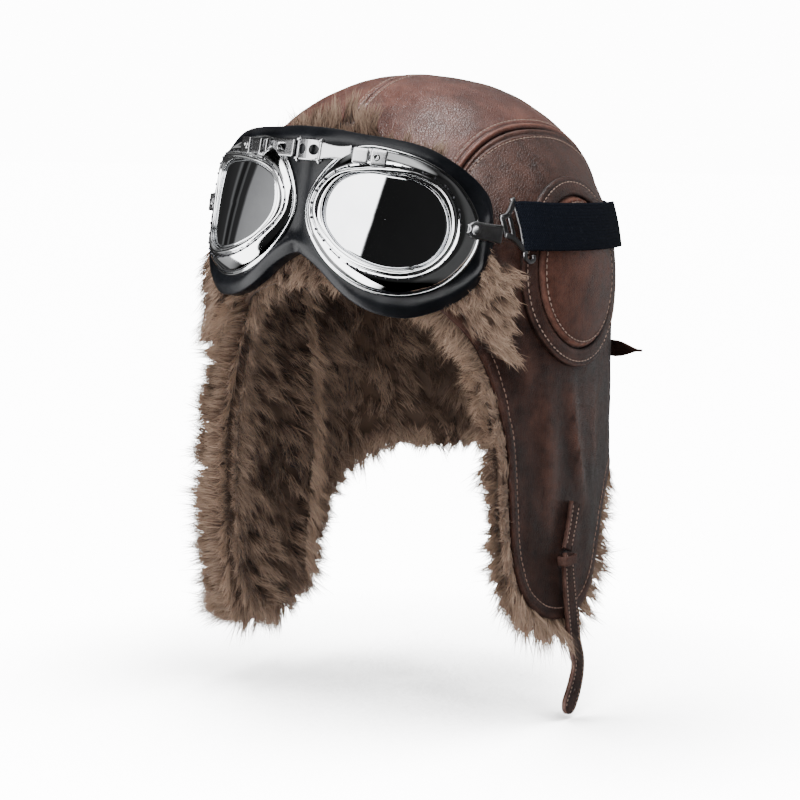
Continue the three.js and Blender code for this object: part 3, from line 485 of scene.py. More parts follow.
def threadParts(spots, along, out, length, radius, sides=6, sink=0.35):
    # one rounded stitch at each spot, its ends sunk into the surface
    share = np.array([-0.5, -0.36, 0.0, 0.36, 0.5])
    thick = np.array([0.25, 0.85, 1.0, 0.85, 0.25])
    high = np.array([-sink, 0.35, 0.55, 0.35, -sink]) * radius
    across = unit(np.cross(along, out))
    turn = circle(sides)
    centre = (spots[:, None, :] + along[:, None, :] * (share * length)[None, :, None]
              + out[:, None, :] * high[None, :, None])
    ring = (across[:, None, None, :] * np.cos(turn)[None, None, :, None]
            + out[:, None, None, :] * np.sin(turn)[None, None, :, None])
    points = centre[:, :, None, :] + ring * (thick * radius)[None, :, None, None]
    quads, caps = tubeFaces(len(share), sides)
    first = (np.arange(len(spots)) * len(share) * sides)[:, None, None]
    return (points.reshape(-1, 3), (first + quads).reshape(-1, 4),
            (first + caps).transpose(1, 0, 2).reshape(-1, sides))


print("mesh makers ready")


# Materials
def put(tree, node, values):
    # link or set inputs of a node
    for key, value in values.items():
        if isinstance(value, bpy.types.NodeSocket):
            tree.links.new(value, node.inputs[key])
        else:
            node.inputs[key].default_value = value


def addNode(tree, kind, values=None, **settings):
    made = tree.nodes.new(kind)
    for key, value in settings.items():
        setattr(made, key, value)
    put(tree, made, values or {})
    return made


def mixColour(tree, factor, a, b, blend="MIX"):
    made = addNode(tree, "ShaderNodeMix", {0: factor, 6: a, 7: b}, data_type="RGBA", blend_type=blend)
    return made.outputs[2]


def sums(tree, operation, a, b=0.0, clamp=False):
    return addNode(tree, "ShaderNodeMath", {0: a, 1: b}, operation=operation, use_clamp=clamp).outputs[0]


def spread(tree, value, low, high, outLow=0.0, outHigh=1.0):
    return addNode(tree, "ShaderNodeMapRange", {0: value, 1: low, 2: high, 3: outLow, 4: outHigh}).outputs[0]


def colour(r, g, b):
    return (r, g, b, 1.0)


def darker(tint, share):
    return colour(*(c * share for c in tint[:3]))


def objectPlace(tree):
    return addNode(tree, "ShaderNodeTexCoord").outputs["Object"]


def noiseAt(tree, place, scale, detail, rough=0.5, warp=0.0):
    values = {"Vector": place, "Scale": scale, "Detail": detail, "Roughness": rough, "Distortion": warp}
    return addNode(tree, "ShaderNodeTexNoise", values).outputs["Fac"]


def cellsAt(tree, place, scale, random=1.0):
    return addNode(tree, "ShaderNodeTexVoronoi", {"Vector": place, "Scale": scale, "Randomness": random},
                   feature="DISTANCE_TO_EDGE").outputs["Distance"]


def attributeParts(tree, name):
    layer = addNode(tree, "ShaderNodeAttribute", attribute_name=name, attribute_type="GEOMETRY")
    return addNode(tree, "ShaderNodeSeparateColor", {"Color": layer.outputs["Color"]}).outputs


def emboss(tree, shader, height, strength, distance):
    relief = addNode(tree, "ShaderNodeBump", {"Height": height, "Strength": strength, "Distance": distance})
    put(tree, shader, {"Normal": relief.outputs["Normal"]})


# scale, detail, roughness and distortion of each noise, scale and randomness of each set of cells, and the
# near black tint of the painted shade in grooves
hideSet = {
    "patch": (22.0, 5.0, 0.62, 0.6), "cloud": (95.0, 6.0, 0.7), "speck": (620.0, 3.0, 0.6),
    "pores": (720.0, 0.9), "creases": (210.0,), "lightShare": 0.42, "shadeTint": colour(0.012, 0.007, 0.006),
    "relief": 0.75, "depth": 0.0003,
}
leatherFinish = {"Specular IOR Level": 0.28, "Coat Weight": 0.02, "Coat Roughness": 0.3}


def makeLeatherGroup():
    # mottled hide: patches, fine pores, worn ridges with some painted sheen, and painted shade in the grooves
    group = bpy.data.node_groups.new("leatherHide", "ShaderNodeTree")
    for way, kind, labels in (("INPUT", "NodeSocketColor", ("Dark", "Middle", "Light")),
                              ("INPUT", "NodeSocketFloat", ("Rubbed", "Soiled", "Shine")),
                              ("OUTPUT", "NodeSocketColor", ("Color",)),
                              ("OUTPUT", "NodeSocketFloat", ("Roughness", "Height"))):
        for label in labels:
            group.interface.new_socket(label, in_out=way, socket_type=kind)
    given = group.nodes.new("NodeGroupInput").outputs
    result = group.nodes.new("NodeGroupOutput")
    place = objectPlace(group)
    patch, cloud, speck = (noiseAt(group, place, *hideSet[k]) for k in ("patch", "cloud", "speck"))
    pores, creases = (cellsAt(group, place, *hideSet[k]) for k in ("pores", "creases"))
    patched = spread(group, patch, 0.34, 0.68)
    clouded = spread(group, cloud, 0.32, 0.70)
    tint = mixColour(group, patched, given["Dark"], given["Middle"])
    lightShare = sums(group, "MULTIPLY", clouded, hideSet["lightShare"])
    lightShare = sums(group, "MULTIPLY", lightShare, sums(group, "ADD", patched, 0.35), True)
    tint = mixColour(group, lightShare, tint, given["Light"])
    poreShade = spread(group, pores, 0.0, 0.16, 0.72, 1.0)
    shade = sums(group, "MULTIPLY", poreShade, spread(group, speck, 0.25, 0.75, 0.84, 1.14))
    grey = addNode(group, "ShaderNodeCombineColor", {"Red": shade, "Green": shade, "Blue": shade}).outputs[0]
    tint = mixColour(group, 1.0, tint, grey, "MULTIPLY")
    # first mark lightens: real wear on ridges and edges, and a painted highlight on the flaps' creases and
    # upper part
    wearAndSheen = sums(group, "MULTIPLY", given["Rubbed"], sums(group, "ADD", clouded, 0.25), True)
    tint = mixColour(group, wearAndSheen, tint, given["Light"])
    # second mark darkens towards a near black tint: painted shade in grooves
    paintedShade = sums(group, "MULTIPLY", given["Soiled"], 0.8, True)
    tint = mixColour(group, paintedShade, tint, hideSet["shadeTint"])
    rough = sums(group, "ADD", given["Shine"], spread(group, cloud, 0.3, 0.7, -0.07, 0.11))
    rough = sums(group, "ADD", rough, spread(group, pores, 0.0, 0.12, 0.12, 0.0))
    height = sums(group, "ADD", spread(group, pores, 0.0, 0.14, 0.0, 0.62),
                  spread(group, creases, 0.0, 0.05, 0.0, 0.22))
    height = sums(group, "ADD", height, sums(group, "MULTIPLY", speck, 0.3))
    put(group, result, {"Color": tint, "Roughness": rough, "Height": height})
    return group


leatherGroup = makeLeatherGroup()


def newMaterial(name):
    material = bpy.data.materials.new(name)
    material.use_nodes = True
    tree = material.node_tree
    return material, tree, tree.nodes["Principled BSDF"]


def leatherMaterial(name, dark, middle, light, shine):
    material, tree, shader = newMaterial(name)
    marks = addNode(tree, "ShaderNodeVertexColor", layer_name="marks").outputs["Color"]
    marks = addNode(tree, "ShaderNodeSeparateColor", {"Color": marks}).outputs
    hide = addNode(tree, "ShaderNodeGroup", {"Dark": dark, "Middle": middle, "Light": light, "Shine": shine,
                                             "Rubbed": marks["Red"], "Soiled": marks["Green"]},
                   node_tree=leatherGroup).outputs
    put(tree, shader, {"Base Color": hide["Color"], "Roughness": hide["Roughness"], **leatherFinish})
    emboss(tree, shader, hide["Height"], hideSet["relief"], hideSet["depth"])
    return material


leatherSet = {
    "crown": (colour(0.056, 0.0165, 0.0105), colour(0.142, 0.042, 0.0270), colour(0.37, 0.160, 0.115), 0.35),
    "flap": (colour(0.009, 0.0038, 0.0030), colour(0.029, 0.0108, 0.0076), colour(0.14, 0.062, 0.044), 0.37),
    "ear": (colour(0.034, 0.0115, 0.0075), colour(0.080, 0.027, 0.0175), colour(0.27, 0.120, 0.085), 0.38),
    "strap": (colour(0.022, 0.0105, 0.0085), colour(0.050, 0.023, 0.018), colour(0.19, 0.100, 0.078), 0.42),
}
crownLeather = leatherMaterial("crownLeather", *leatherSet["crown"])
flapLeather = leatherMaterial("flapLeather", *leatherSet["flap"])
earLeather = leatherMaterial("earLeather", *leatherSet["ear"])
strapLeather = leatherMaterial("strapLeather", *leatherSet["strap"])


def threadMaterial(name, tint):
    material, tree, shader = newMaterial(name)
    place = objectPlace(tree)
    tone = noiseAt(tree, place, 260.0, 2.0)
    twist = addNode(tree, "ShaderNodeTexWave", {"Vector": place, "Scale": 900.0, "Distortion": 3.0})
    full = mixColour(tree, spread(tree, tone, 0.3, 0.7), darker(tint, 0.6), tint)
    put(tree, shader, {"Base Color": full, "Roughness": 0.7})
    emboss(tree, shader, twist.outputs["Fac"], 0.6, 0.0001)
    return material


paleThread = threadMaterial("paleThread", colour(0.56, 0.40, 0.33))
brownThread = threadMaterial("brownThread", colour(0.38, 0.25, 0.20))
print("leather materials ready")


# Elastic strap's place, needed by the leather under it
strapSet = {"width": 23, "thickness": 1.7, "level": -57.5, "tilt": 5, "backDrop": 6, "rest": 0.6,
            "overEar": 4.7}
earSet = {"y": -3, "z": -88, "halfWidth": 50, "halfHeight": 49, "inner": 39.5, "ring": 1.6, "rest": 0.6,
          "gap": 1.3, "pad": 3.5, "edge": 1.8}
chinSet = {"anchorY": -8, "aboveTip": 60, "length": 110, "width": 11, "thickness": 2.4, "rest": 0.4,
           "holeAt": 0.86, "holeRadius": 1.5}
napeSet = {"level": -137, "width": 14, "thickness": 2, "start": 226, "leave": 150, "tail": 51, "lift": 1.5}

# back and down are shares of the chin length, lift of its thickness, half of its width
tabRoute = [(0, 0, 0, 0.41), (-0.041, 0.109, 0, 0.355), (-0.0864, 0.2136, 0, 0.336)]
leftRoute = [
    (-0.091, 0.2255, 0.625, 0.39),
    (-0.1, 0.291, 0.625, 0.427),
    (-0.0727, 0.459, 0.417, 0.5),
    (-0.0364, 0.6545, 0.333, 0.5),
    (-0.0045, 0.773, 0.458, 0.5),
    (-0.0364, 0.882, 0.333, 0.568),
    (-0.109, 1, 0, 0.568),
]
rightRoute = [
    (-0.018, 0.036, 0, 0.445),
    (-0.059, 0.2, 0, 0.5),
    (-0.0636, 0.327, 0, 0.5),
    (-0.0636, 0.4, 0, 0.5),
]


def strapLevel(theta):
    drop = strapSet["backDrop"] * (1 - np.cos(theta)) / 2
    return strapSet["level"] - strapSet["tilt"] * np.sin(theta) - drop


def placedRoute(route, count):
    # smooth stations y, z, lift, half along a chin route
    back, down, lift, half = curve(route, count + 1).T
    return np.stack([chinSet["anchorY"] + back * chinSet["length"],
                     flapTip["left"] + chinSet["aboveTip"] - down * chinSet["length"],
                     chinSet["rest"] + lift * chinSet["thickness"], half * chinSet["width"]], axis=-1)


def calmShare(theta, z, side):
    # 1 where something lies on the leather, so it stays flat there
    p = basePoint(theta, z)
    y = p[..., 1]
    ear = np.hypot((y - earSet["y"]) / earSet["halfWidth"], (z - earSet["z"]) / earSet["halfHeight"])
    calm = 1 - smoothStep(1.02, 1.25, ear)
    band = 1 - smoothStep(strapSet["width"] / 2 + 1, strapSet["width"] / 2 + 9, np.abs(z - strapLevel(theta)))
    calm = np.maximum(calm, band)
    nape = (1 - smoothStep(9, 16, np.abs(z - napeSet["level"]))) * smoothStep(50, 75, y)
    calm = np.maximum(calm, nape)
    routes = [tabRoute, leftRoute] if side > 0 else [rightRoute]
    for route in routes:
        line = placedRoute(route, 30)
        gap = np.hypot(y[..., None] - line[:, 0], z[..., None] - line[:, 1]).min(axis=-1)
        calm = np.maximum(calm, 1 - smoothStep(8, 15, gap))
    return calm


seamSet = {
    "groove": 0.75, "ridgeAt": 1.9, "ridge": 0.95, "dipAt": 3.7, "dip": 0.4, "swellAt": 4.9, "swell": 0.35,
    "stitchAt": 5.9, "stitchDent": 0.28, "pitch": 3.1, "stitchLength": 2.35, "stitchRadius": 0.34,
}


def seamProfile(d):
    s = seamSet
    return (-s["groove"] * bump(d, 0, 0.7) + s["ridge"] * bump(d, s["ridgeAt"], 1.1)
            - s["dip"] * bump(d, s["dipAt"], 0.7) + s["swell"] * bump(d, s["swellAt"], 0.9)
            - s["stitchDent"] * bump(d, s["stitchAt"], 0.6))


def alongColumns(points):
    # distance run down each column of a grid
    steps = np.linalg.norm(np.diff(points, axis=1), axis=-1)
    return np.concatenate([np.zeros((len(points), 1)), np.cumsum(steps, axis=1)], axis=1)


def lineAt(points, normals, measure, value):
    # the line over a grid where a measure that grows down the columns has a value
    columns = [c for c in zip(points, normals, measure) if c[2][0] <= value <= c[2][-1]]
    spots = np.array([readLine(value, m, p) for p, n, m in columns])
    return spots, unit(np.array([readLine(value, m, n) for p, n, m in columns]))


# Crown: two strips joined down the middle
# centreSeam: height, place and width of each ridge or groove beside the middle seam
crownSet = {"waviness": 0.8, "waveSize": 40, "dimples": 0.22, "dimpleSize": 12, "centreStitch": 3.1,
            "centreSeam": [(-0.6, 0, 0.8), (0.4, 1.5, 0.9), (-0.3, 3.1, 0.6)]}


def crownPanel(side):
    ribs = sideRibs(side)
    along = ribs["seam"][:, None]
    v = np.concatenate([np.linspace(0, 0.1, 15), np.linspace(0.1, 0.87, 22)[1:],
                        np.linspace(0.87, 1, 22)[1:]])
    gap = leather["seamGap"] / 2
    half = gap + (seamHalf(along) - 2 * gap) * v
    theta, z = crownPlace(half, along)
    theta = side * theta
    base = basePoint(theta, z)
    normals = shellNormal(theta, z)
    fromCentre = alongColumns(base)
    fromSeam = fromCentre[:, -1:] - fromCentre
    calm = calmShare(theta, z, side)
    free = 1 - 0.85 * calm
    lift = crownSet["waviness"] * (wave(base, crownSet["waveSize"], 2, 3.1) - 0.35) * free
    lift += crownSet["dimples"] * wave(base, crownSet["dimpleSize"], 2, 7.7) * free
    lift *= smoothStep(0, 14, fromSeam) * smoothStep(0, 9, fromCentre)
    lift += seamProfile(fromSeam) * (1 - 0.5 * calm)
    for size, centre, width in crownSet["centreSeam"]:
        lift += size * bump(fromCentre, centre, width)
    outer = base + normals * lift[..., None]
    wearAndSheen = 0.75 * bump(fromSeam, seamSet["ridgeAt"], 0.9) + 0.3 * bump(fromSeam, seamSet["swellAt"], 0.8)
    wearAndSheen += 0.3 * bump(fromCentre, 1.5, 0.9) + 0.25 * np.clip(wave(base, 55, 3, 1.2), 0, 1)
    # painted shade in the seam grooves and along the middle seam
    paintedShade = 0.9 * bump(fromSeam, 0, 0.55) + 0.5 * bump(fromSeam, seamSet["dipAt"], 0.6)
    paintedShade += 0.9 * bump(fromCentre, 0, 0.5)
    addSlab("crown_leather_" + sideWord[side], outer, base - normals * leather["thickness"], crownLeather,
            ["crown_" + sideWord[side]], "crown_leather", sheetMarks(outer, wearAndSheen, paintedShade))
    return [lineAt(outer, normals, fromCentre, crownSet["centreStitch"]),
            lineAt(outer[:, ::-1], normals[:, ::-1], fromSeam[:, ::-1], seamSet["stitchAt"])]


def stitchPiece(name, lines, material, pitch=seamSet["pitch"], length=seamSet["stitchLength"],
                radius=seamSet["stitchRadius"]):
    parts = [threadParts(*resample(line, out, pitch), length, radius) for line, out in lines]
    return addParts(name, parts, material, ())


crownLines = [line for side in (1, -1) for line in crownPanel(side)]
stitchPiece("crown_stitches", crownLines, paleThread)
print("crown made")


# Side panels with the ear flaps
flapSet = {"waviness": 1.1, "waveSize": 46, "dimples": 0.3, "dimpleSize": 13, "folds": 1.0, "foldSize": 24,
           "hem": 6.0, "hemDent": 0.35, "edgeRoll": 0.7}

# soft creases of the near flap, from the photo: y, z along each ridge, then its height and width
flapCreases = [
    ([(-12, -141), (-8, -158), (-3, -180), (3, -200), (9, -216)], 2.3, 4.5),
    ([(-34, -150), (-30, -175), (-31, -205), (-36, -232)], 1.2, 7.0),
    ([(18, -150), (22, -172), (21, -195)], 0.9, 6.0),
    ([(-50, -120), (-47, -135), (-48, -150)], 0.8, 5.0),
]


def creaseLift(y, z):
    total = np.zeros_like(y)
    for spots, height, width in flapCreases:
        table = np.array(spots, dtype=float)
        line = readLine(np.linspace(0, len(table) - 1, 40), np.arange(len(table)), table)
        gaps = np.hypot(y[..., None] - line[:, 0], z[..., None] - line[:, 1])
        ends = np.sin(np.pi * np.clip(gaps.argmin(axis=-1) / 39.0, 0.02, 0.98)) ** 0.6
        total += height * np.exp(-(gaps.min(axis=-1) / width) ** 2) * ends
    return total


def sidePanel(side):
    ribs = sideRibs(side)
    topTheta, topZ, lowTheta, lowZ = (ribs[k][:, None] for k in ("topTheta", "topZ", "lowTheta", "lowZ"))
    even = np.linspace(0, 1, 20)
    rough = basePoint(blendTo(topTheta, lowTheta, even), blendTo(topZ, lowZ, even))
    length = np.maximum(alongColumns(rough)[:, -1:], 1.0)
    head = np.minimum(10 / length, 0.3)
    foot = np.minimum(9 / length, 0.3)
    share = np.concatenate([head * np.linspace(0, 1, 22),
                            head + (1 - head - foot) * np.linspace(0, 1, 36)[1:-1],
                            1 - foot * np.linspace(1, 0, 18)], axis=1)
    theta = side * blendTo(topTheta, lowTheta, share)
    z = blendTo(topZ, lowZ, share) - leather["seamGap"] * (1 - share)
    base = basePoint(theta, z)
    normals = shellNormal(theta, z)
    fromSeam = alongColumns(base)
    fromEdge = nearest(base, base[:, -1])
    calm = calmShare(theta, z, side)
    free = 1 - 0.88 * calm
    lift = flapSet["waviness"] * (wave(base, flapSet["waveSize"], 2, 5.3 * side) - 0.3) * free
    lift += flapSet["dimples"] * wave(base, flapSet["dimpleSize"], 2, 2.9 * side) * free
    lowness = smoothStep(-125, -175, z)
    drawn = base * np.array([1, 1, 0.3])
    lift += flapSet["folds"] * (wave(drawn, flapSet["foldSize"], 2, 8.8 * side) - 0.2) * free * lowness
    if side > 0:
        crease = creaseLift(base[..., 1], z) * free
    else:
        crease = 0.6 * creaseLift(-8 - base[..., 1], z) * free
    lift += crease
    lift *= smoothStep(0, 12, fromSeam) * smoothStep(0, 9, fromEdge)
    lift += seamProfile(fromSeam) * (1 - 0.5 * calm)
    lift += -flapSet["hemDent"] * bump(fromEdge, flapSet["hem"], 0.8) + 0.25 * bump(fromEdge, 3.4, 1.6)
    lift += -flapSet["edgeRoll"] * (1 - smoothStep(0, 1.6, fromEdge))
    outer = base + normals * lift[..., None]
    wearAndSheen = 0.8 * bump(fromSeam, seamSet["ridgeAt"], 0.9) + 0.35 * bump(fromSeam, seamSet["swellAt"], 0.8)
    # painted highlight along the creases; the edge bump is real wear
    wearAndSheen += 0.5 * np.clip(crease, 0, 1.8) + 0.35 * bump(fromEdge, 1.4, 1.2)
    wearAndSheen += 0.25 * np.clip(wave(base, 50, 3, 4.4), 0, 1)
    # painted light: lighter towards the top of the panel
    wearAndSheen += 0.5 * smoothStep(-150, -60, z) * (1 - lowness)
    # painted shade in the seam grooves and the hem dent
    paintedShade = 0.9 * bump(fromSeam, 0, 0.55) + 0.5 * bump(fromSeam, seamSet["dipAt"], 0.6)
    paintedShade += 0.35 * bump(fromEdge, flapSet["hem"], 0.7)
    addSlab("flap_leather_" + sideWord[side], outer, base - normals * leather["thickness"], flapLeather,
            ["side_panel_" + sideWord[side]], "flap_leather", sheetMarks(outer, wearAndSheen, paintedShade))
    rows = slice(2, -2)
    seamLine = lineAt(outer[rows], normals[rows], fromSeam[rows], seamSet["stitchAt"])
    hemLine = lineAt(outer[rows, ::-1], normals[rows, ::-1], fromEdge[rows, ::-1], flapSet["hem"])
    return seamLine, hemLine


seamLines, hemLines = zip(*[sidePanel(side) for side in (1, -1)])
stitchPiece("side_seam_stitches", seamLines, paleThread)
stitchPiece("hem_stitches", hemLines, brownThread)
print("side panels made")


# Ear patches: a stitched ring with a padded oval inside
earLook = {"outerStitch": 3.2, "padStitch": 3.4, "pitch": 3.3, "pucker": 0.45, "gathers": 40,
           "ringSteps": 180, "padSteps": 200}
# share of the way in from the ring's outer edge, and its height as a share
ringSection = [
    (0, -0.9), (0, 0.3), (0.02, 0.75), (0.05, 0.98), (0.1, 1.03), (0.16, 1.05), (0.22, 1.0), (0.28, 0.9),
    (0.34, 0.98), (0.42, 1.04), (0.5, 1.07), (0.58, 1.06), (0.66, 1.04), (0.74, 1.0), (0.82, 0.92),
    (0.9, 0.8), (0.96, 0.6), (1, 0.35), (1, -0.9),
]


def padRise(share):
    return blendTo(earSet["pad"] + 0.9, earSet["edge"], share ** 2.4)


def earSpot(turn, reach, height, lift, side):
    y = earSet["y"] + reach * np.cos(turn)
    z = earSet["z"] + height * np.sin(turn)
    theta = side * sideAngle(y, z)
    return onShell(theta, z, lift), shellNormal(theta, z)


def earRing(side):
    turn = circle(earLook["ringSteps"])[:, None]
    v, up = np.array(ringSection).T
    reach = blendTo(earSet["halfWidth"], earSet["inner"], v)[None, :]
    height = blendTo(earSet["halfHeight"], earSet["inner"], v)[None, :]
    lift = earSet["rest"] + earSet["ring"] * np.maximum(up, 0)[None, :] + 0 * turn
    spots, _ = earSpot(turn, reach, height, lift * 0, side)
    lift = lift + 0.22 * wave(spots, 16, 2, 6.1) * (up > 0.5)[None, :]
    lift = np.where(up[None, :] < 0, earSet["rest"], lift)
    outer, normals = earSpot(turn, reach, height, lift, side)
    inner = outer - normals * (lift - earSet["rest"] + 0.25)[..., None]
    wearAndSheen = 0.5 * bump(v, 0.1, 0.07) + 0.25 * bump(v, 0.5, 0.2) + 0.3 * bump(v, 0.85, 0.1)
    # painted shade at the ring's edges and in its groove
    paintedShade = 0.8 * bump(v, 0, 0.03) + 0.5 * bump(v, 0.28, 0.05) + 0.9 * bump(v, 1, 0.05)
    addSlab("ear_patch_" + sideWord[side], outer, inner, flapLeather, ["ear_ring_" + sideWord[side]],
            "flap_leather", sheetMarks(outer, wearAndSheen, paintedShade), True)
    share = earLook["outerStitch"]
    return earSpot(turn[:, 0], earSet["halfWidth"] - share, earSet["halfHeight"] - share,
                   earSet["rest"] + 0.92 * earSet["ring"], side)


def earCushion(side):
    radius = earSet["inner"] - earSet["gap"] + 0.6
    turn = circle(earLook["padSteps"])[:, None]
    share = np.concatenate([[0.001, 0.002], np.linspace(0.05, 0.8, 15), np.linspace(0.82, 1.0, 14)])
    rolled = np.where(share > 0.985, 0.25, np.where(share > 0.965, 0.7, np.where(share > 0.95, 0.9, 1.0)))
    rise = padRise(share) * rolled
    reach = (radius * share)[None, :]
    fromRim = radius - radius * share
    top = 0.35 + 0.65 * smoothStep(-0.1, 0.8, np.sin(turn))
    gathers = np.cos(turn * earLook["gathers"] + 0.8 * np.sin(5 * turn))
    pucker = earLook["pucker"] * gathers * bump(fromRim, 1.9, 1.6) * top
    lift = earSet["rest"] + rise[None, :] + pucker - 0.45 * bump(fromRim, earLook["padStitch"], 0.7)[None, :]
    spots, _ = earSpot(turn, reach, reach, lift * 0, side)
    lift = lift + 0.35 * wave(spots, 22, 2, 9.4) * smoothStep(2, 8, fromRim)[None, :]
    strap = strapLevel(side * sideAngle(spots[..., 1], spots[..., 2]))
    lift = lift - 0.6 * bump((spots[..., 2] - strap) / 13, 0, 1)
    outer, _ = earSpot(turn, reach, reach, lift, side)
    inner, _ = earSpot(turn, reach, reach, lift * 0 + 0.35, side)
    wearAndSheen = 0.55 * bump(fromRim, 1.4, 1.1) + 0.2
    # painted shade where the pad meets the ring and along its stitch line
    paintedShade = 0.9 * bump(fromRim, 0, 0.5) + 0.4 * bump(fromRim, earLook["padStitch"], 0.6)
    pad = addSlab("ear_padding_" + sideWord[side], outer, inner, earLeather, ["ear_pad_" + sideWord[side]],
                  "crown_leather", sheetMarks(outer, wearAndSheen, paintedShade), True)
    inside = radius - earLook["padStitch"]
    return earSpot(turn[:, 0], inside, inside, earSet["rest"] + padRise(inside / radius) - 0.15, side)


patchLines, cushionLines = [], []
for side in (1, -1):
    for lines, made in ((patchLines, earRing(side)), (cushionLines, earCushion(side))):
        line, out = made
        lines.append((np.concatenate([line, line[:1]]), np.concatenate([out, out[:1]])))
stitchPiece("ear_patch_stitches", patchLines, paleThread, earLook["pitch"])
stitchPiece("ear_pad_stitches", cushionLines, paleThread, earLook["pitch"])
print("ear patches made")


# Goggles: places on their two flat eyes that meet at the hinge line
goggleSet = {"hingeY": -119.2, "level": -60, "pitch": 10, "roll": 4, "yaw": 30, "bridgeRound": 6,
             "rounds": 12}
yaw, pitch, roll = (math.radians(goggleSet[k]) for k in ("yaw", "pitch", "roll"))
eyeSet = {"along": 43, "up": 7.2, "flange": 40, "ring": 32, "opening": 28, "ventRadius": 33}
flangeArch = {"rise": 8, "centre": 47, "half": 47}
ringArch = {"base": 5, "rise": 11, "centre": 45, "half": 38}
padSet = {"halfSpan": 98.4, "top": 49, "bottom": 39, "centreThickness": 9, "endThickness": 4.2, "edge": 5,
          "rest": 0.3}
bead = 1.4

# angle, then shares of the flange, ring and opening radii; 0 points away from the nose
eyeOutline = np.array([
    (0, 1.19, 1.11, 1.16), (30, 1.045, 1.06, 1.06), (60, 0.90, 0.878, 0.882), (90, 0.873, 0.775, 0.804),
    (120, 0.975, 0.844, 0.93), (150, 0.985, 1.07, 1.11), (180, 1.0, 1.125, 1.115),
    (210, 0.91, 0.931, 0.964), (240, 0.87, 0.828, 0.836), (270, 0.90, 0.81, 0.832),
    (300, 0.9875, 0.906, 0.932), (330, 1.11, 1.037, 1.118),
])
# along, top, bottom shares of the pad's contour
padContour = np.array([
    (0, 1.0, 0.36), (0.1, 0.995, 0.54), (0.2, 0.98, 0.745), (0.3, 0.975, 0.89), (0.4, 0.97, 0.975),
    (0.5, 0.955, 1.0), (0.6, 0.92, 0.985), (0.7, 0.85, 0.90), (0.8, 0.757, 0.77), (0.9, 0.62, 0.565),
    (0.96, 0.46, 0.33), (1, 0.11, -0.13),
])


def goggleBend(along):
    # run across the bend, its slope, and that slope's length
    bent = np.hypot(along, goggleSet["bridgeRound"])
    slope = math.sin(yaw) * along / bent
    return bent - goggleSet["bridgeRound"], slope, np.hypot(slope, math.cos(yaw))


def onGoggles(along, up, lift):
    along, up, lift = np.broadcast_arrays(*(np.asarray(v, dtype=float) for v in (along, up, lift)))
    run, slope, size = goggleBend(along)
    x = along * math.cos(yaw) + lift * slope / size
    y = run * math.sin(yaw) - lift * math.cos(yaw) / size
    back = y * math.cos(pitch) + up * math.sin(pitch)
    high = up * math.cos(pitch) - y * math.sin(pitch)
    return np.stack([x * math.cos(roll) + high * math.sin(roll), goggleSet["hingeY"] + back,
                     goggleSet["level"] + high * math.cos(roll) - x * math.sin(roll)], axis=-1)


def offGoggles(p):
    # along, up, lift of places near the goggles
    tall = p[..., 2] - goggleSet["level"]
    x = p[..., 0] * math.cos(roll) - tall * math.sin(roll)
    high = p[..., 0] * math.sin(roll) + tall * math.cos(roll)
    back = p[..., 1] - goggleSet["hingeY"]
    y = back * math.cos(pitch) - high * math.sin(pitch)
    along = x / math.cos(yaw)
    for _ in range(goggleSet["rounds"]):
        run, slope, size = goggleBend(along)
        lift = (run * math.sin(yaw) - y) * size / math.cos(yaw)
        along = 0.5 * along + 0.5 * (x - lift * slope / size) / math.cos(yaw)
    return along, back * math.sin(pitch) + high * math.cos(pitch), lift


def flangeLift(along):
    return flangeArch["rise"] * (1 - ((np.abs(along) - flangeArch["centre"]) / flangeArch["half"]) ** 2)


def ringLift(along):
    share = (np.abs(along) - ringArch["centre"]) / ringArch["half"]
    return ringArch["base"] + ringArch["rise"] * (1 - share ** 2)


def eyeRadius(column, size, turn):
    angles = np.concatenate([[-30], eyeOutline[:, 0], [360, 390]])
    values = np.concatenate([eyeOutline[-1:, column], eyeOutline[:, column], eyeOutline[:2, column]])
    return size * readTable(angles, values, np.degrees(turn) % 360)


def goggleNormal(along, up, lift):
    side = onGoggles(along + 0.5, up, lift) - onGoggles(along - 0.5, up, lift)
    high = onGoggles(along, up + 0.5, lift) - onGoggles(along, up - 0.5, lift)
    return unit(np.cross(side, high))


def padLines(share):
    share = np.hypot(share, 0.07) - 0.07 * (1 - share)
    top = padSet["top"] * readTable(padContour[:, 0], padContour[:, 1], share)
    bottom = -padSet["bottom"] * readTable(padContour[:, 0], padContour[:, 2], share)
    return top, bottom


def padThickness(share):
    return blendTo(padSet["centreThickness"], padSet["endThickness"], share ** 1.3)


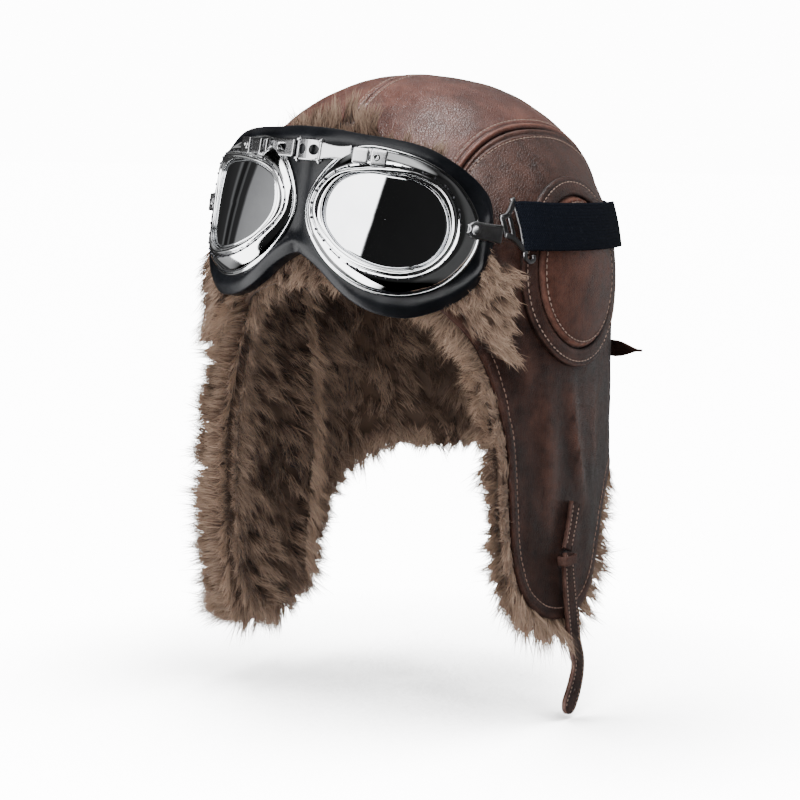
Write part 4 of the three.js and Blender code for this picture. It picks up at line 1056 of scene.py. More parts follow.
# one eye's metal: from (kind, share of the way from ring to flange, inset, lift)
frameSection = [
    ("mix", 1, 0.30, 0.05), ("mix", 1, -0.05, 0.35), ("mix", 1, -0.15, 0.75), ("mix", 1, 0.05, 1.15),
    ("mix", 1, 0.4, 1.35), ("mix", 1, 0.75, 1.3), ("mix", 1, 1.0, 1.1), ("mix", 1, 1.2, 0.9),
    ("mix", 1, 1.5, 0.85), ("mix", 0.86, 0, 1.4), ("mix", 0.74, 0, 1.9), ("mix", 0.62, 0, 2.3),
    ("mix", 0.5, 0, 2.5), ("mix", 0.38, 0, 2.5), ("mix", 0.26, 0, 2.25), ("mix", 0.16, 0, 1.7),
    ("mix", 0.09, 0, 1.0), ("mix", 0.04, 0, 0.2), ("mix", 0, -0.3, 0.0), ("mix", 0, -0.3, 0.6),
    ("mix", 0, 0.05, 1.15), ("mix", 0, 0.7, 1.35), ("mix", 0, 1.4, 1.15), ("mix", 0, 1.85, 0.6),
    ("mix", 0, 2.05, 0.0), ("hole", 0, -0.75, -0.5), ("hole", 0, -0.4, -0.2), ("hole", 0, -0.1, -0.25),
    ("hole", 0, 0.1, -0.7), ("hole", 0, 0.1, -1.3), ("hole", 0, 0, -3.8), ("mix", 0.2, 0, -1.2),
    ("mix", 0.6, 0, 0.6), ("mix", 1, 3.0, 0.0),
]


def frameSpot(side, turn, kind, share, inset, lift):
    flange = eyeRadius(1, eyeSet["flange"], turn)
    ring = eyeRadius(2, eyeSet["ring"], turn)
    hole = eyeRadius(3, eyeSet["opening"], turn)
    radius = hole - inset if kind == "hole" else blendTo(ring, flange, share) - inset
    along = eyeSet["along"] + radius * np.cos(turn)
    up = eyeSet["up"] + radius * np.sin(turn)
    level = ringLift(along) if kind == "hole" else blendTo(ringLift(along), flangeLift(along), share)
    return onGoggles(side * along, up, level + lift)


def lensFrame(side):
    # the section's points carried round the eye
    rings = np.stack([frameSpot(side, circle(128), *row) for row in frameSection])
    sides, steps = rings.shape[:2]
    points = rings.transpose(1, 0, 2).reshape(-1, 3)
    i = np.arange(steps)[:, None]
    j = np.arange(sides)[None, :]
    k, m = (i + 1) % steps, (j + 1) % sides
    faces = np.stack([i * sides + j, k * sides + j, k * sides + m, i * sides + m], axis=-1).reshape(-1, 4)
    name = "goggle_frame_" + sideWord[side]
    mesh = makeMesh(name, points, [turnedOut(points, faces)])
    addPiece(name, mesh, chrome, ["lens_frame_" + sideWord[side]])


def lensGlass(side):
    turn = circle(96)[:, None]
    share = np.concatenate([[0.001, 0.002], np.linspace(0.07, 1, 15)])[None, :]
    radius = (eyeRadius(3, eyeSet["opening"], turn) - 0.35) * share
    along = eyeSet["along"] + radius * np.cos(turn)
    up = eyeSet["up"] + radius * np.sin(turn)
    back = 1.5 + 0.6 * share ** 2 - 0.6
    outer, inner = (onGoggles(side * along, up, ringLift(along) - back - deep) for deep in (0.0, 1.7))
    addSlab("mirror_lens_" + sideWord[side], outer, inner, mirror, ["lens_" + sideWord[side]], "mirror_lens",
            loop=True)


def metalMaterial(name, tint, rough, scratch=0.04, scale=60.0):
    material, tree, shader = newMaterial(name)
    place = objectPlace(tree)
    smear = noiseAt(tree, place, scale, 5.0, 0.65)
    full = mixColour(tree, spread(tree, smear, 0.35, 0.65), darker(tint, 0.86), tint)
    shine = spread(tree, smear, 0.3, 0.7, rough, rough + scratch)
    put(tree, shader, {"Base Color": full, "Roughness": shine, "Metallic": 1.0})
    emboss(tree, shader, noiseAt(tree, place, scale * 14, 3.0), 0.05, 0.00004)
    return material


chrome = metalMaterial("chromePlate", colour(0.86, 0.87, 0.88), 0.045)
darkMetal = metalMaterial("wornSteel", colour(0.42, 0.42, 0.43), 0.3, 0.1, 90.0)
mirror = metalMaterial("mirrorLens", colour(0.70, 0.71, 0.73), 0.012, 0.012, 30.0)
# near black: painted shade where the vent openings are
ventShadeMetal = metalMaterial("ventOpeningShade", colour(0.05, 0.05, 0.055), 0.3, 0.1)

for side in (1, -1):
    lensFrame(side)
    lensGlass(side)

# small vent slots round each ring, each with a dot at its ends, as near black shapes: painted shade of the
# openings
ventSet = {"count": 17, "share": 0.17, "slot": 5.2, "slotRadius": 0.34, "dotRadius": 0.6, "lift": 1.72}


def ventParts():
    slots, dots = [], []
    share, level = ventSet["share"], ventSet["lift"]
    for side in (1, -1):
        turn = circle(ventSet["count"], 0.5)
        reach = turn + ventSet["slot"] * 0.62 / eyeSet["ventRadius"]
        spots = frameSpot(side, turn, "mix", share, 0, level)
        along = unit(frameSpot(side, turn + 0.02, "mix", share, 0, level) - spots)
        out = unit(np.cross(along, frameSpot(side, turn, "mix", share + 0.05, 0, 2.0) - spots))
        out *= np.sign((out * goggleNormal(side * eyeSet["along"], 0, 0)).sum(axis=-1))[:, None]
        slots.append(threadParts(spots, along, out, ventSet["slot"], ventSet["slotRadius"], 8, 0.1))
        for where in (reach, 2 * turn - reach):
            at = frameSpot(side, where, "mix", share, 0, level)
            dots.append(threadParts(at, along, out, 1.5, ventSet["dotRadius"], 8, 0.2))
    return slots + dots


addParts("frame_vents", ventParts(), ventShadeMetal, ())
print("goggle eyes made")


# Face pad
def padMaterial():
    material, tree, shader = newMaterial("blackPadSkin")
    place = objectPlace(tree)
    soft = noiseAt(tree, place, 40.0, 4.0)
    pores = cellsAt(tree, place, 1100.0)
    wrinkle = noiseAt(tree, place, 300.0, 4.0, warp=1.2)
    full = mixColour(tree, spread(tree, soft, 0.35, 0.65), colour(0.004, 0.0045, 0.006),
                     colour(0.010, 0.011, 0.014))
    put(tree, shader, {"Base Color": full, "Roughness": spread(tree, soft, 0.3, 0.7, 0.28, 0.38),
                       "Specular IOR Level": 0.24})
    height = sums(tree, "ADD", spread(tree, pores, 0.0, 0.14, 0.0, 0.5), sums(tree, "MULTIPLY", wrinkle, 0.5))
    emboss(tree, shader, height, 0.28, 0.00012)
    return material


padLook = {"columns": 150, "rows": 34, "puff": 1.5, "puffAt": 5.5, "crease": 0.35}


def facePad():
    columns, rows = padLook["columns"], padLook["rows"]
    along = (-padSet["halfSpan"] * np.cos(np.pi * np.arange(columns + 1) / columns))[:, None]
    share = np.abs(along) / padSet["halfSpan"]
    top, bottom = padLines(share)
    down = ((1 - np.cos(np.pi * np.arange(rows + 1) / rows)) / 2)[None, :]
    up = np.where(share > 0.9999, (top + bottom) / 2, blendTo(bottom, top, down))
    inside = np.minimum(np.minimum(up - bottom, top - up), (padSet["halfSpan"] - np.abs(along)) * 1.5)
    full = quarterRound(inside / padSet["edge"])
    thick = padThickness(share)
    middle = flangeLift(along) - padSet["rest"] - thick / 2
    half = (0.28 + 0.22 * full) * thick
    puff = padLook["puff"] * bump(inside, padLook["puffAt"], 3.2)
    dent = padLook["crease"] * wave(onGoggles(along, up, middle), 14, 3, 4.2) * full
    body = addSlab("goggle_pad", onGoggles(along, up, middle + half + puff + dent),
                   onGoggles(along, up, middle - half), padMaterial(), ["face_pad"], "black_pad")
    cutters = []
    for side in (1, -1):
        turn = circle(64)[:, None]
        radius = eyeRadius(3, eyeSet["opening"], turn) * 0.94 * np.array([[0.01, 1.0]])
        a = side * (eyeSet["along"] + radius * np.cos(turn))
        b = eyeSet["up"] + radius * np.sin(turn)
        points, faces = slabParts(onGoggles(a, b, 30), onGoggles(a, b, -30), loop=True)
        cutters.append((points, turnedOut(points, faces)))
    cutHoles(body, cutters)
    body.data.polygons.foreach_set("use_smooth", np.ones(len(body.data.polygons), dtype=bool))


facePad()
print("face pad made")


# Goggle fittings: bridge, link plates and hook buckles
bridgeSet = {"level": 37, "height": 10.5, "halfLink": 6.2, "plateStart": 6.9, "plateEnd": 22,
             "thickness": 1.4, "hole": 2.7, "holeAt": 3.15, "rod": 0.95, "rest": 0.3, "trim": 1.5,
             "waist": {"left": 1.3, "right": 0.3}}
lugSet = {"start": 22.5, "end": 40, "height": 8.5, "thickness": 4.2, "below": 0.6, "raised": 3.0,
          "screwAt": 34.6,
          "screw": [(1.9, -0.1), (1.9, 0.55), (1.6, 0.85), (0.9, 0.9), (0.85, 0.45), (0.1, 0.45)]}
linkSet = {"start": 84, "beyond": 3.1, "level": 9.3, "height": 9.5, "thickness": 1.8, "rivet": 2.5,
           "rivetProfile": [(1, -0.2), (1, 0.3), (0.82, 0.8), (0.45, 1.05)]}
hookSet = {"padGap": 5.9, "length": 11.5, "frontHalf": 5, "backHalf": 13.5, "frontLift": 6.8, "backLift": 4.3,
           "thickness": 1.8, "bar": 3.0, "strapGap": 0.35}
seat = bead + bridgeSet["rest"]
nickel = metalMaterial("satinNickel", colour(0.46, 0.46, 0.47), 0.2, 0.1, 120.0)


def plateParts(side, start, end, level, height, lift, thickness, corner=1.2, edge=0.35, waist=0.0,
               tongue=False):
    # bevelled plate on the goggles that follows the flange's arch; a tongue has a round start
    s = np.concatenate([[0, 0.01, 0.03, 0.07], np.linspace(0.12, 0.88, 14), [0.93, 0.97, 0.99, 1]])[:, None]
    t = np.array([-1, -0.97, -0.88, -0.6, 0, 0.6, 0.88, 0.97, 1])[None, :]
    length = end - start
    fromStart, fromEnd = s * length, (1 - s) * length
    half = height / 2 - waist * (1 - (2 * s - 1) ** 2)
    for gap, r in ((fromStart, height / 2 if tongue else corner), (fromEnd, corner)):
        half = half - (r - np.sqrt(np.clip(r * r - np.clip(r - gap, 0, r) ** 2, 0, None)))
    along = start + fromStart + 0 * t
    up = level + t * half
    inside = np.minimum(np.minimum(fromStart, fromEnd) + 0 * t, (1 - np.abs(t)) * half)
    base = flangeLift(along) + lift
    bevel = edge * (1 - quarterRound(inside / edge))
    outer = onGoggles(side * along, up, base + thickness - bevel)
    points, faces = slabParts(outer, onGoggles(side * along, up, base))
    return points, turnedOut(points, faces)


def pinParts(side, along, up, lift, profile, steps=20):
    # turned piece standing on the goggles; profile rows are radius and height
    origin = onGoggles(side * along, up, lift)
    normal = goggleNormal(side * along, up, lift)
    normal = normal * np.sign(normal[1] * -1)
    ring = ringAround(normal, steps)
    points = np.concatenate([origin + normal * h + r * ring for r, h in profile])
    return (points, *tubeFaces(len(profile), steps))


def tubeParts(path, normals, wide, thick, sides=12, closed=False):
    # bar of oval section along a path; wide lies across the path, thick along the normals
    n = len(path)
    turned = np.roll(path, -1, axis=0) - np.roll(path, 1, axis=0)
    ahead = unit(turned if closed else np.gradient(path, axis=0))
    across = unit(np.cross(ahead, normals))
    out = np.cross(across, ahead)
    x, y = (v[None, :, None] for v in roundedBox(circle(sides, 0.5), 0.6))
    wide, thick = (np.broadcast_to(v, (n,))[:, None, None] for v in (wide, thick))
    points = path[:, None, :] + across[:, None, :] * x * wide + out[:, None, :] * y * thick
    return (points.reshape(-1, 3), *tubeFaces(n, sides, closed))


def addBridge():
    level, height, thick = bridgeSet["level"], bridgeSet["height"], bridgeSet["thickness"]
    half = bridgeSet["halfLink"]
    s = np.linspace(-1, 1, 9)[:, None]
    t = np.array([-1, -0.9, 0, 0.9, 1])[None, :]
    base = flangeLift(0.0) + seat
    drop = 0.3 * (np.abs(t) > 0.95) + 0 * s
    outer, inner = (onGoggles(s * (half - 0.5) + 0 * t, level + t * height / 2, lift)
                    for lift in (base + thick - drop, base + 0 * drop))
    plate = addSlab("bridge_link", outer, inner, nickel, ["bridge_link"], "chrome", smooth=False)
    drill = [(bridgeSet["hole"], -4), (bridgeSet["hole"], 6)]
    cutHoles(plate, [pinParts(side, bridgeSet["holeAt"], level, base, drill, 32) for side in (1, -1)])
    parts = []
    for side in (1, -1):
        up = np.linspace(-height / 2 - 1.3, height / 2 + 1.3, 12)
        path = onGoggles(side * half, level + up, base + thick / 2)
        normal = np.broadcast_to(goggleNormal(0.0, level, base), path.shape)
        size = bridgeSet["rod"] * np.array([0.5, 1, 1.05, 1, 1, 1, 1, 1, 1, 1.05, 1, 0.5])
        parts.append(tubeParts(path, normal, size, size, 12))
        for end in (-1, 1):
            ring = np.linspace(0, turnAll, 14, endpoint=False)
            centre = level + end * (height / 2 - 0.6)
            loop = onGoggles(side * half + 1.5 * np.cos(ring), centre + 0 * ring,
                             base + thick / 2 + 1.5 * np.sin(ring))
            parts.append(tubeParts(loop, np.broadcast_to(upward, loop.shape), 0.5, 0.7, 8, True))
    addParts("bridge_pins", parts, nickel, ())
    for side, word in sideWord.items():
        waist = bridgeSet["waist"][word]
        bar = plateParts(side, bridgeSet["plateStart"], bridgeSet["plateEnd"], level,
                         height - bridgeSet["trim"], seat, thick, 1.0, 0.35, waist)
        plate = addParts("bridge_plate_" + word, [bar], nickel, ["bridge_plate_" + word])
        if side < 0:
            cutHoles(plate, [plateParts(side, 11.5, 17.5, level, 3.6, seat - 3, 8, 1.7)])
        low = level - lugSet["below"]
        tall, deep, up = lugSet["height"], lugSet["thickness"], lugSet["raised"]
        boxes = [(lugSet["start"], lugSet["end"], tall, seat, 1.2 + up),
                 (lugSet["start"] + 0.4, 30.4, tall - 0.6, seat + 1 + up, deep - 1.0),
                 (31.8, lugSet["end"] - 0.3, tall - 0.2, seat + 1 + up, deep - 0.6)]
        parts = [plateParts(side, a, b, low, h, lift, d, 0.8, 0.4) for a, b, h, lift, d in boxes]
        screw = [(r, deep + h) for r, h in lugSet["screw"]]
        at = lugSet["screwAt"]
        parts.append(pinParts(side, at, low, flangeLift(at) + seat + up, screw, 24))
        addParts("bridge_lug_" + word, parts, nickel, ["bridge_lug_" + word])


addBridge()


def hookSpan(side):
    end = flangeLift(padSet["halfSpan"]) - padSet["rest"] - padSet["endThickness"]
    front = float(onGoggles(side * padSet["halfSpan"], 0, end)[1]) + hookSet["padGap"]
    return front, front + hookSet["length"]


def addHook(side):
    word = sideWord[side]
    start, end = linkSet["start"], padSet["halfSpan"] + linkSet["beyond"]
    level, deep = linkSet["level"], linkSet["thickness"]
    parts = [plateParts(side, start, end, level, linkSet["height"], seat, deep, 1.2, 0.45, 0.5, True)]
    rivet = [(linkSet["rivet"] * r, deep + h) for r, h in linkSet["rivetProfile"]] + [(0.1, deep + 1.1)]
    parts.append(pinParts(side, start + 4.2, level, flangeLift(start + 4.2) + seat, rivet, 24))
    ring = np.linspace(0, turnAll, 18, endpoint=False)
    loop = onGoggles(side * (start - 0.8 + 2.6 * np.cos(ring)), level + 2.0 * np.sin(ring),
                     flangeLift(start) + seat + 0.9 + 0.5 * np.cos(ring))
    normals = np.broadcast_to(goggleNormal(side * start, level, 0), loop.shape)
    parts.append(tubeParts(loop, normals, 0.6, 0.6, 8, True))
    addParts("link_plate_" + word, parts, darkMetal, ["link_plate_" + word])

    front, back = hookSpan(side)
    middle = strapLevel(side * sideAngle(back, strapSet["level"]))
    half, wide = hookSet["thickness"] / 2, hookSet["bar"] / 2

    def bar(stations, width, count=24):
        # stations: share of the way back, height from the middle
        rows = curve(stations, count) if len(stations) > 2 else np.linspace(stations[0], stations[1], count)
        y = front + rows[:, 0] * hookSet["length"]
        z = middle + rows[:, 1]
        path = onSide(y, z, blendTo(hookSet["frontLift"], hookSet["backLift"], rows[:, 0]) + half, side)
        return tubeParts(path, shellNormal(side * sideAngle(y, z), z), width, half, 12)

    b = hookSet["backHalf"]
    top = hookSet["frontHalf"] - wide * 0.7
    parts = [
        bar([(0.1, top + 0.6), (0.1, -top - 0.6)], 1.5),
        bar([(0.42, top + 2.0), (0.42, -top - 2.0)], 1.2),
        bar([(0.06, top), (0.42, top + 1.9), (0.9, b - 1.2)], 1.5),
        bar([(0.06, -top), (0.42, -top - 1.9), (0.9, -(b - 1.2))], 1.5),
        bar([(0.86, b), (0.9, 0), (0.87, -b + 0.4)], wide),
        bar([(0.87, -b + 2.2), (0.84, -b - 1.2), (1.02, -b - 3.4), (1.3, -b - 2.6), (1.34, -b - 0.2)],
            1.15, 30),
    ]
    addParts("hook_buckle_" + word, parts, darkMetal, ["hook_buckle_" + word])


for side in (1, -1):
    addHook(side)
print("fittings made")


# Elastic strap, doubled over behind each hook
elasticLook = {"double": 15.0, "doubleLift": 1.15, "edge": 0.55, "ribs": 15, "picks": 330, "stations": 171}


def elasticMaterial():
    material, tree, shader = newMaterial("navyElastic")
    parts = attributeParts(tree, "weave")
    rib = sums(tree, "SINE", sums(tree, "MULTIPLY", parts["Green"], turnAll * elasticLook["ribs"]))
    pick = sums(tree, "SINE", sums(tree, "MULTIPLY", parts["Red"], turnAll * elasticLook["picks"]))
    thread = sums(tree, "MULTIPLY", rib, pick)
    lint = noiseAt(tree, objectPlace(tree), 900.0, 2.0)
    tint = mixColour(tree, spread(tree, thread, -1.0, 1.0), colour(0.002, 0.003, 0.006),
                     colour(0.009, 0.012, 0.020))
    full = mixColour(tree, spread(tree, lint, 0.62, 0.8, 0.0, 0.5), tint, colour(0.05, 0.055, 0.07))
    put(tree, shader, {"Base Color": full, "Roughness": 0.82, "Specular IOR Level": 0.12})
    emboss(tree, shader, sums(tree, "ADD", thread, sums(tree, "MULTIPLY", rib, 0.8)), 0.6, 0.00018)
    return material


def elasticStrap():
    endY = hookSpan(1)[1] + hookSet["strapGap"] - 2.2
    ends = np.array([0.88, 0.95, 0.985, 1])
    t = np.concatenate([-ends[::-1], np.linspace(-0.8, 0.8, 19), ends])[None, :]
    across = t * strapSet["width"] / 2
    bearing = sideAngle(endY, strapSet["level"])
    s = np.linspace(0, 1, elasticLook["stations"])[:, None]
    first = sideAngle(endY, strapLevel(bearing) + across)
    last = turnAll - sideAngle(endY, strapLevel(-bearing) + across)
    theta = blendTo(first, last, s)
    z = strapLevel(theta) + across
    spot = basePoint(theta, z)
    over = 1 - smoothStep(44, 62, np.abs(spot[..., 1] + 3))
    low = strapSet["rest"] + strapSet["overEar"] * over
    edge = elasticLook["edge"] * (np.abs(t) > 0.99) + 0.2 * (np.abs(t) > 0.96) * (np.abs(t) < 0.99)
    double = elasticLook["doubleLift"] * (spot[..., 1] - endY < elasticLook["double"])
    ripple = 0.05 * np.sin(theta * 170)
    high = low + strapSet["thickness"] - edge + ripple + double
    weave = np.stack([s + 0 * t, (t + 1) / 2 + 0 * s], axis=-1).reshape(-1, 2)
    addSlab("elastic_strap", onShell(theta, z, high), onShell(theta, z, low + 0.05), elasticMaterial(),
            ["goggle_strap"], "elastic", {"weave": np.concatenate([weave, weave])})


elasticStrap()
print("elastic made")


# Chin straps, keeper, buckle, and the strap round the nape
# where a strap's stitches run, as a share of its half width
strapEdge = 0.72


def flatStrap(name, rows, side, tipRound=0.0):
    # rows: y, z, lift, half
    thickness = chinSet["thickness"]
    y, z, lift, half = rows.T
    run = unit(np.stack([np.gradient(y), np.gradient(z)], axis=-1))
    steps = np.hypot(np.gradient(y), np.gradient(z))
    left = np.cumsum(steps[::-1])[::-1] - steps
    if tipRound:
        half = half * np.clip(quarterRound(left / tipRound), 0.12, 1)
    t = np.array([-1, -0.985, -0.94, -0.85, -0.7, -0.35, 0, 0.35, 0.7, 0.85, 0.94, 0.985, 1])[None, :]
    ay = y[:, None] - run[:, 1:2] * t * half[:, None]
    az = z[:, None] + run[:, 0:1] * t * half[:, None]
    low = lift[:, None] + 0 * t
    dome = thickness - 0.75 * (np.abs(t) > 0.99) - 0.25 * ((np.abs(t) > 0.96) & (np.abs(t) < 0.99)) \
        - 0.22 * bump(np.abs(t), strapEdge, 0.1)
    grain = 0.12 * np.sin(np.linspace(0, 40, len(y)))[:, None] * (1 - np.abs(t))
    outer = onSide(ay, az, low + dome + grain, side)
    # worn edges, and painted shade along the dented stitch lines
    marks = sheetMarks(outer, 0.7 * bump(np.abs(t), 0.97, 0.05), 0.7 * bump(np.abs(t), strapEdge, 0.08), 1)
    inner = onSide(ay, az, low + 0.05, side)
    piece = addSlab(name, outer, inner, strapLeather, [name], "flap_leather", marks)
    keep = slice(2, len(y) - 3)
    lines = []
    for t0 in (-strapEdge, strapEdge):
        ky = (y - run[:, 1] * t0 * half)[keep]
        kz = (z + run[:, 0] * t0 * half)[keep]
        path = onSide(ky, kz, lift[keep] + thickness - 0.2, side)
        lines.append((path, shellNormal(side * sideAngle(ky, kz), kz)))
    return piece, lines


def addChin():
    route = placedRoute(leftRoute, 110)
    _, tabLines = flatStrap("chin_tab", placedRoute(tabRoute, 30), 1)
    strap, leftLines = flatStrap("chin_strap_left", route, 1, 6.5)
    spot = route[int(len(route) * chinSet["holeAt"])]
    centre = onSide(spot[0], spot[1], spot[2] - 3, 1)
    normal = shellNormal(sideAngle(spot[0], spot[1]), spot[1])
    ring = chinSet["holeRadius"] * ringAround(normal, 20)
    cutHoles(strap, [(np.concatenate([centre + ring, centre + ring + normal * 10]), *tubeFaces(2, 20))])
    _, rightLines = flatStrap("chin_strap_right", placedRoute(rightRoute, 60), -1)
    stitchPiece("strap_stitches", tabLines + leftLines + rightLines, paleThread,
                2.3, 1.5, 0.26)


addChin()


keeperSet = {"wall": 1.2, "width": 5, "back": -0.1, "down": 0.259, "slack": 0.3, "roof": 0.4,
             "marks": (0.35, 0.1)}
buckleSet = {"width": 20, "height": 15, "bar": 2.4, "thickness": 2.2}
slideSet = {"at": 162, "length": 12.0, "wall": 2.4}


def addKeeper():
    y = chinSet["anchorY"] + keeperSet["back"] * chinSet["length"]
    z = flapTip["left"] + chinSet["aboveTip"] - keeperSet["down"] * chinSet["length"]
    rows = placedRoute(leftRoute, 110)
    here = rows[np.argmin(np.hypot(rows[:, 0] - y, rows[:, 1] - z))]
    half = here[3] + keeperSet["slack"] + chinSet["rest"]
    low = chinSet["rest"]
    high = here[2] + chinSet["thickness"] + keeperSet["roof"]
    flat, tall = (v[:, None] for v in roundedBox(circle(40), 0.4))
    v = np.array([-1, -0.9, -0.5, 0, 0.5, 0.9, 1])[None, :]
    bulge = 1 - 0.35 * (np.abs(v) > 0.95)
    shapes = []
    for grow in (keeperSet["wall"], 0.0):
        ay = y + flat * (half + grow * bulge)
        az = z + v * keeperSet["width"] / 2 + 0 * flat
        lift = np.maximum((low + high) / 2 + tall * ((high - low) / 2 + grow * bulge), low - 0.1 + 0 * v)
        shapes.append(onSide(ay, az, lift, 1))
    addSlab("chin_keeper", *shapes, strapLeather, ["chin_keeper"], "flap_leather",
            {"marks": np.array([keeperSet["marks"]])}, True)


def addBuckle():
    # rounded frame lying on the far flap
    end = placedRoute(rightRoute, 60)[-1]
    wall, thick = buckleSet["bar"], buckleSet["thickness"]
    x, h = boxLine(2 / 6, buckleSet["width"] - wall, buckleSet["height"] - wall)
    y = end[0] + x
    z = end[1] - buckleSet["height"] / 2 - 0.4 + h
    path = onSide(y, z, chinSet["rest"] + thick / 2 + 0 * x, -1)
    loop = tubeParts(path, shellNormal(-sideAngle(y, z), z), wall / 2, thick / 2, 12, True)
    addParts("chin_buckle", [loop], darkMetal, ["chin_buckle"])


addKeeper()
addBuckle()


def napeStrap():
    columns, wrap = 150, 0.68
    start, leave = math.radians(napeSet["start"]), math.radians(napeSet["leave"])
    t = np.array([-1, -0.985, -0.93, -0.8, -0.6, -0.3, 0, 0.3, 0.6, 0.8, 0.93, 0.985, 1])[None, :]
    share = np.linspace(0, 1, columns)[:, None]
    level, width, lift = napeSet["level"], napeSet["width"], leather["rest"]
    origin = onShell(leave, level, lift)
    ahead = unit(onShell(leave - 0.05, level, lift) - origin)
    out = shellNormal(leave, level)
    edge = 0.7 * (np.abs(t) > 0.99) + 0.25 * ((np.abs(t) > 0.96) & (np.abs(t) < 0.99)) \
        + 0.2 * bump(np.abs(t), 0.74, 0.1)
    shapes = []
    for up in (napeSet["thickness"] - edge, 0.05 + 0 * edge):
        theta = blendTo(start, leave, np.minimum(share / wrap, 1))
        lying = onShell(theta + 0 * t, level + t * width / 2 + 0 * theta, lift + up + 0 * theta)
        gone = np.clip((share - wrap) / (1 - wrap), 0, 1)
        taper = np.maximum(1 - 0.35 * smoothStep(0, 0.3, gone) - 0.65 * smoothStep(0.5, 1.05, gone), 0.1)
        rise = t * width / 2 * taper + napeSet["lift"] * gone ** 2
        free = (origin + ahead * (gone * napeSet["tail"])[..., None]
                + out * (up + 2 * napeSet["lift"] * gone ** 2)[..., None]) + rise[..., None] * upward
        shapes.append(np.where((share <= wrap)[..., None], lying, free))
    # worn edges, and painted shade along the dented stitch lines
    marks = sheetMarks(shapes[0], 0.7 * bump(np.abs(t), 0.97, 0.05), 0.7 * bump(np.abs(t), 0.74, 0.08), 1)
    addSlab("nape_strap", *shapes, strapLeather, ["nape_strap"], "flap_leather", marks)
    normals = unit(shapes[0] - shapes[1])
    lines = [(shapes[0][3:-6, k] - 0.15 * normals[3:-6, k], normals[3:-6, k]) for k in (3, 9)]
    stitchPiece("nape_stitches", lines, paleThread, 2.4, 1.6, 0.26)


def napeSlide():
    wall = slideSet["wall"]
    high = napeSet["thickness"] + 0.35
    across, tall = boxLine(0.35, slideSet["length"] - wall, napeSet["width"] + 0.7 + wall)
    theta = math.radians(slideSet["at"]) + across / shell["back"]
    z = napeSet["level"] + tall
    lift = leather["rest"] + blendTo(high, high / 2, smoothStep(0.8, 1.0, np.abs(tall) / tall.max())) + 1.0
    loop = tubeParts(onShell(theta, z, lift), shellNormal(theta, z), wall / 2, 1.0, 12, True)
    addParts("nape_buckle", [loop], darkMetal, ["nape_buckle"])


napeStrap()
napeSlide()
print("straps made")


# Fur: clumps of thin tapering blades
furSet = {"widest": 110, "slack": 7.5, "paleEdge": 0.3, "ridgeHighlight": 0.8, "liftOut": 3.9,
          "ring": -45, "backing": 4.2, "sink": 0.8, "radius": 110}
visorSet = {"end": 54, "endLevel": -127, "bottom": -89, "top": -11, "rest": 1.4, "backing": 3.2,
            "padGap": 0.5}


def furMaterial(name, root, middle, tip):
    material, tree, shader = newMaterial(name)
    parts = attributeParts(tree, "tone")
    reach = sums(tree, "ADD", parts["Red"], spread(tree, parts["Blue"], 0.0, 1.0, -0.16, 0.16), clamp=True)
    low = mixColour(tree, spread(tree, reach, 0.08, 0.5), root, middle)
    full = mixColour(tree, spread(tree, reach, 0.45, 0.98), low, tip)
    patch = mixColour(tree, spread(tree, parts["Green"], 0.15, 0.85, 0.0, 0.85), full, middle)
    shade = spread(tree, sums(tree, "MULTIPLY", parts["Green"], parts["Green"]), 0.1, 1.0, 0.0, 0.72)
    put(tree, shader, {"Base Color": mixColour(tree, shade, patch, root), "Roughness": 0.62,
                       "Specular IOR Level": 0.22, "Sheen Weight": 0.12})
    return material


brownFur = furMaterial("brownFur", colour(0.028, 0.017, 0.012), colour(0.18, 0.112, 0.078),
                       colour(0.56, 0.40, 0.295))
feltBack = furMaterial("furBacking", colour(0.05, 0.03, 0.02), colour(0.13, 0.08, 0.055),
                       colour(0.15, 0.095, 0.065))

backTone = {"tone": np.array([[0.3, 0.5, 0.5]])}


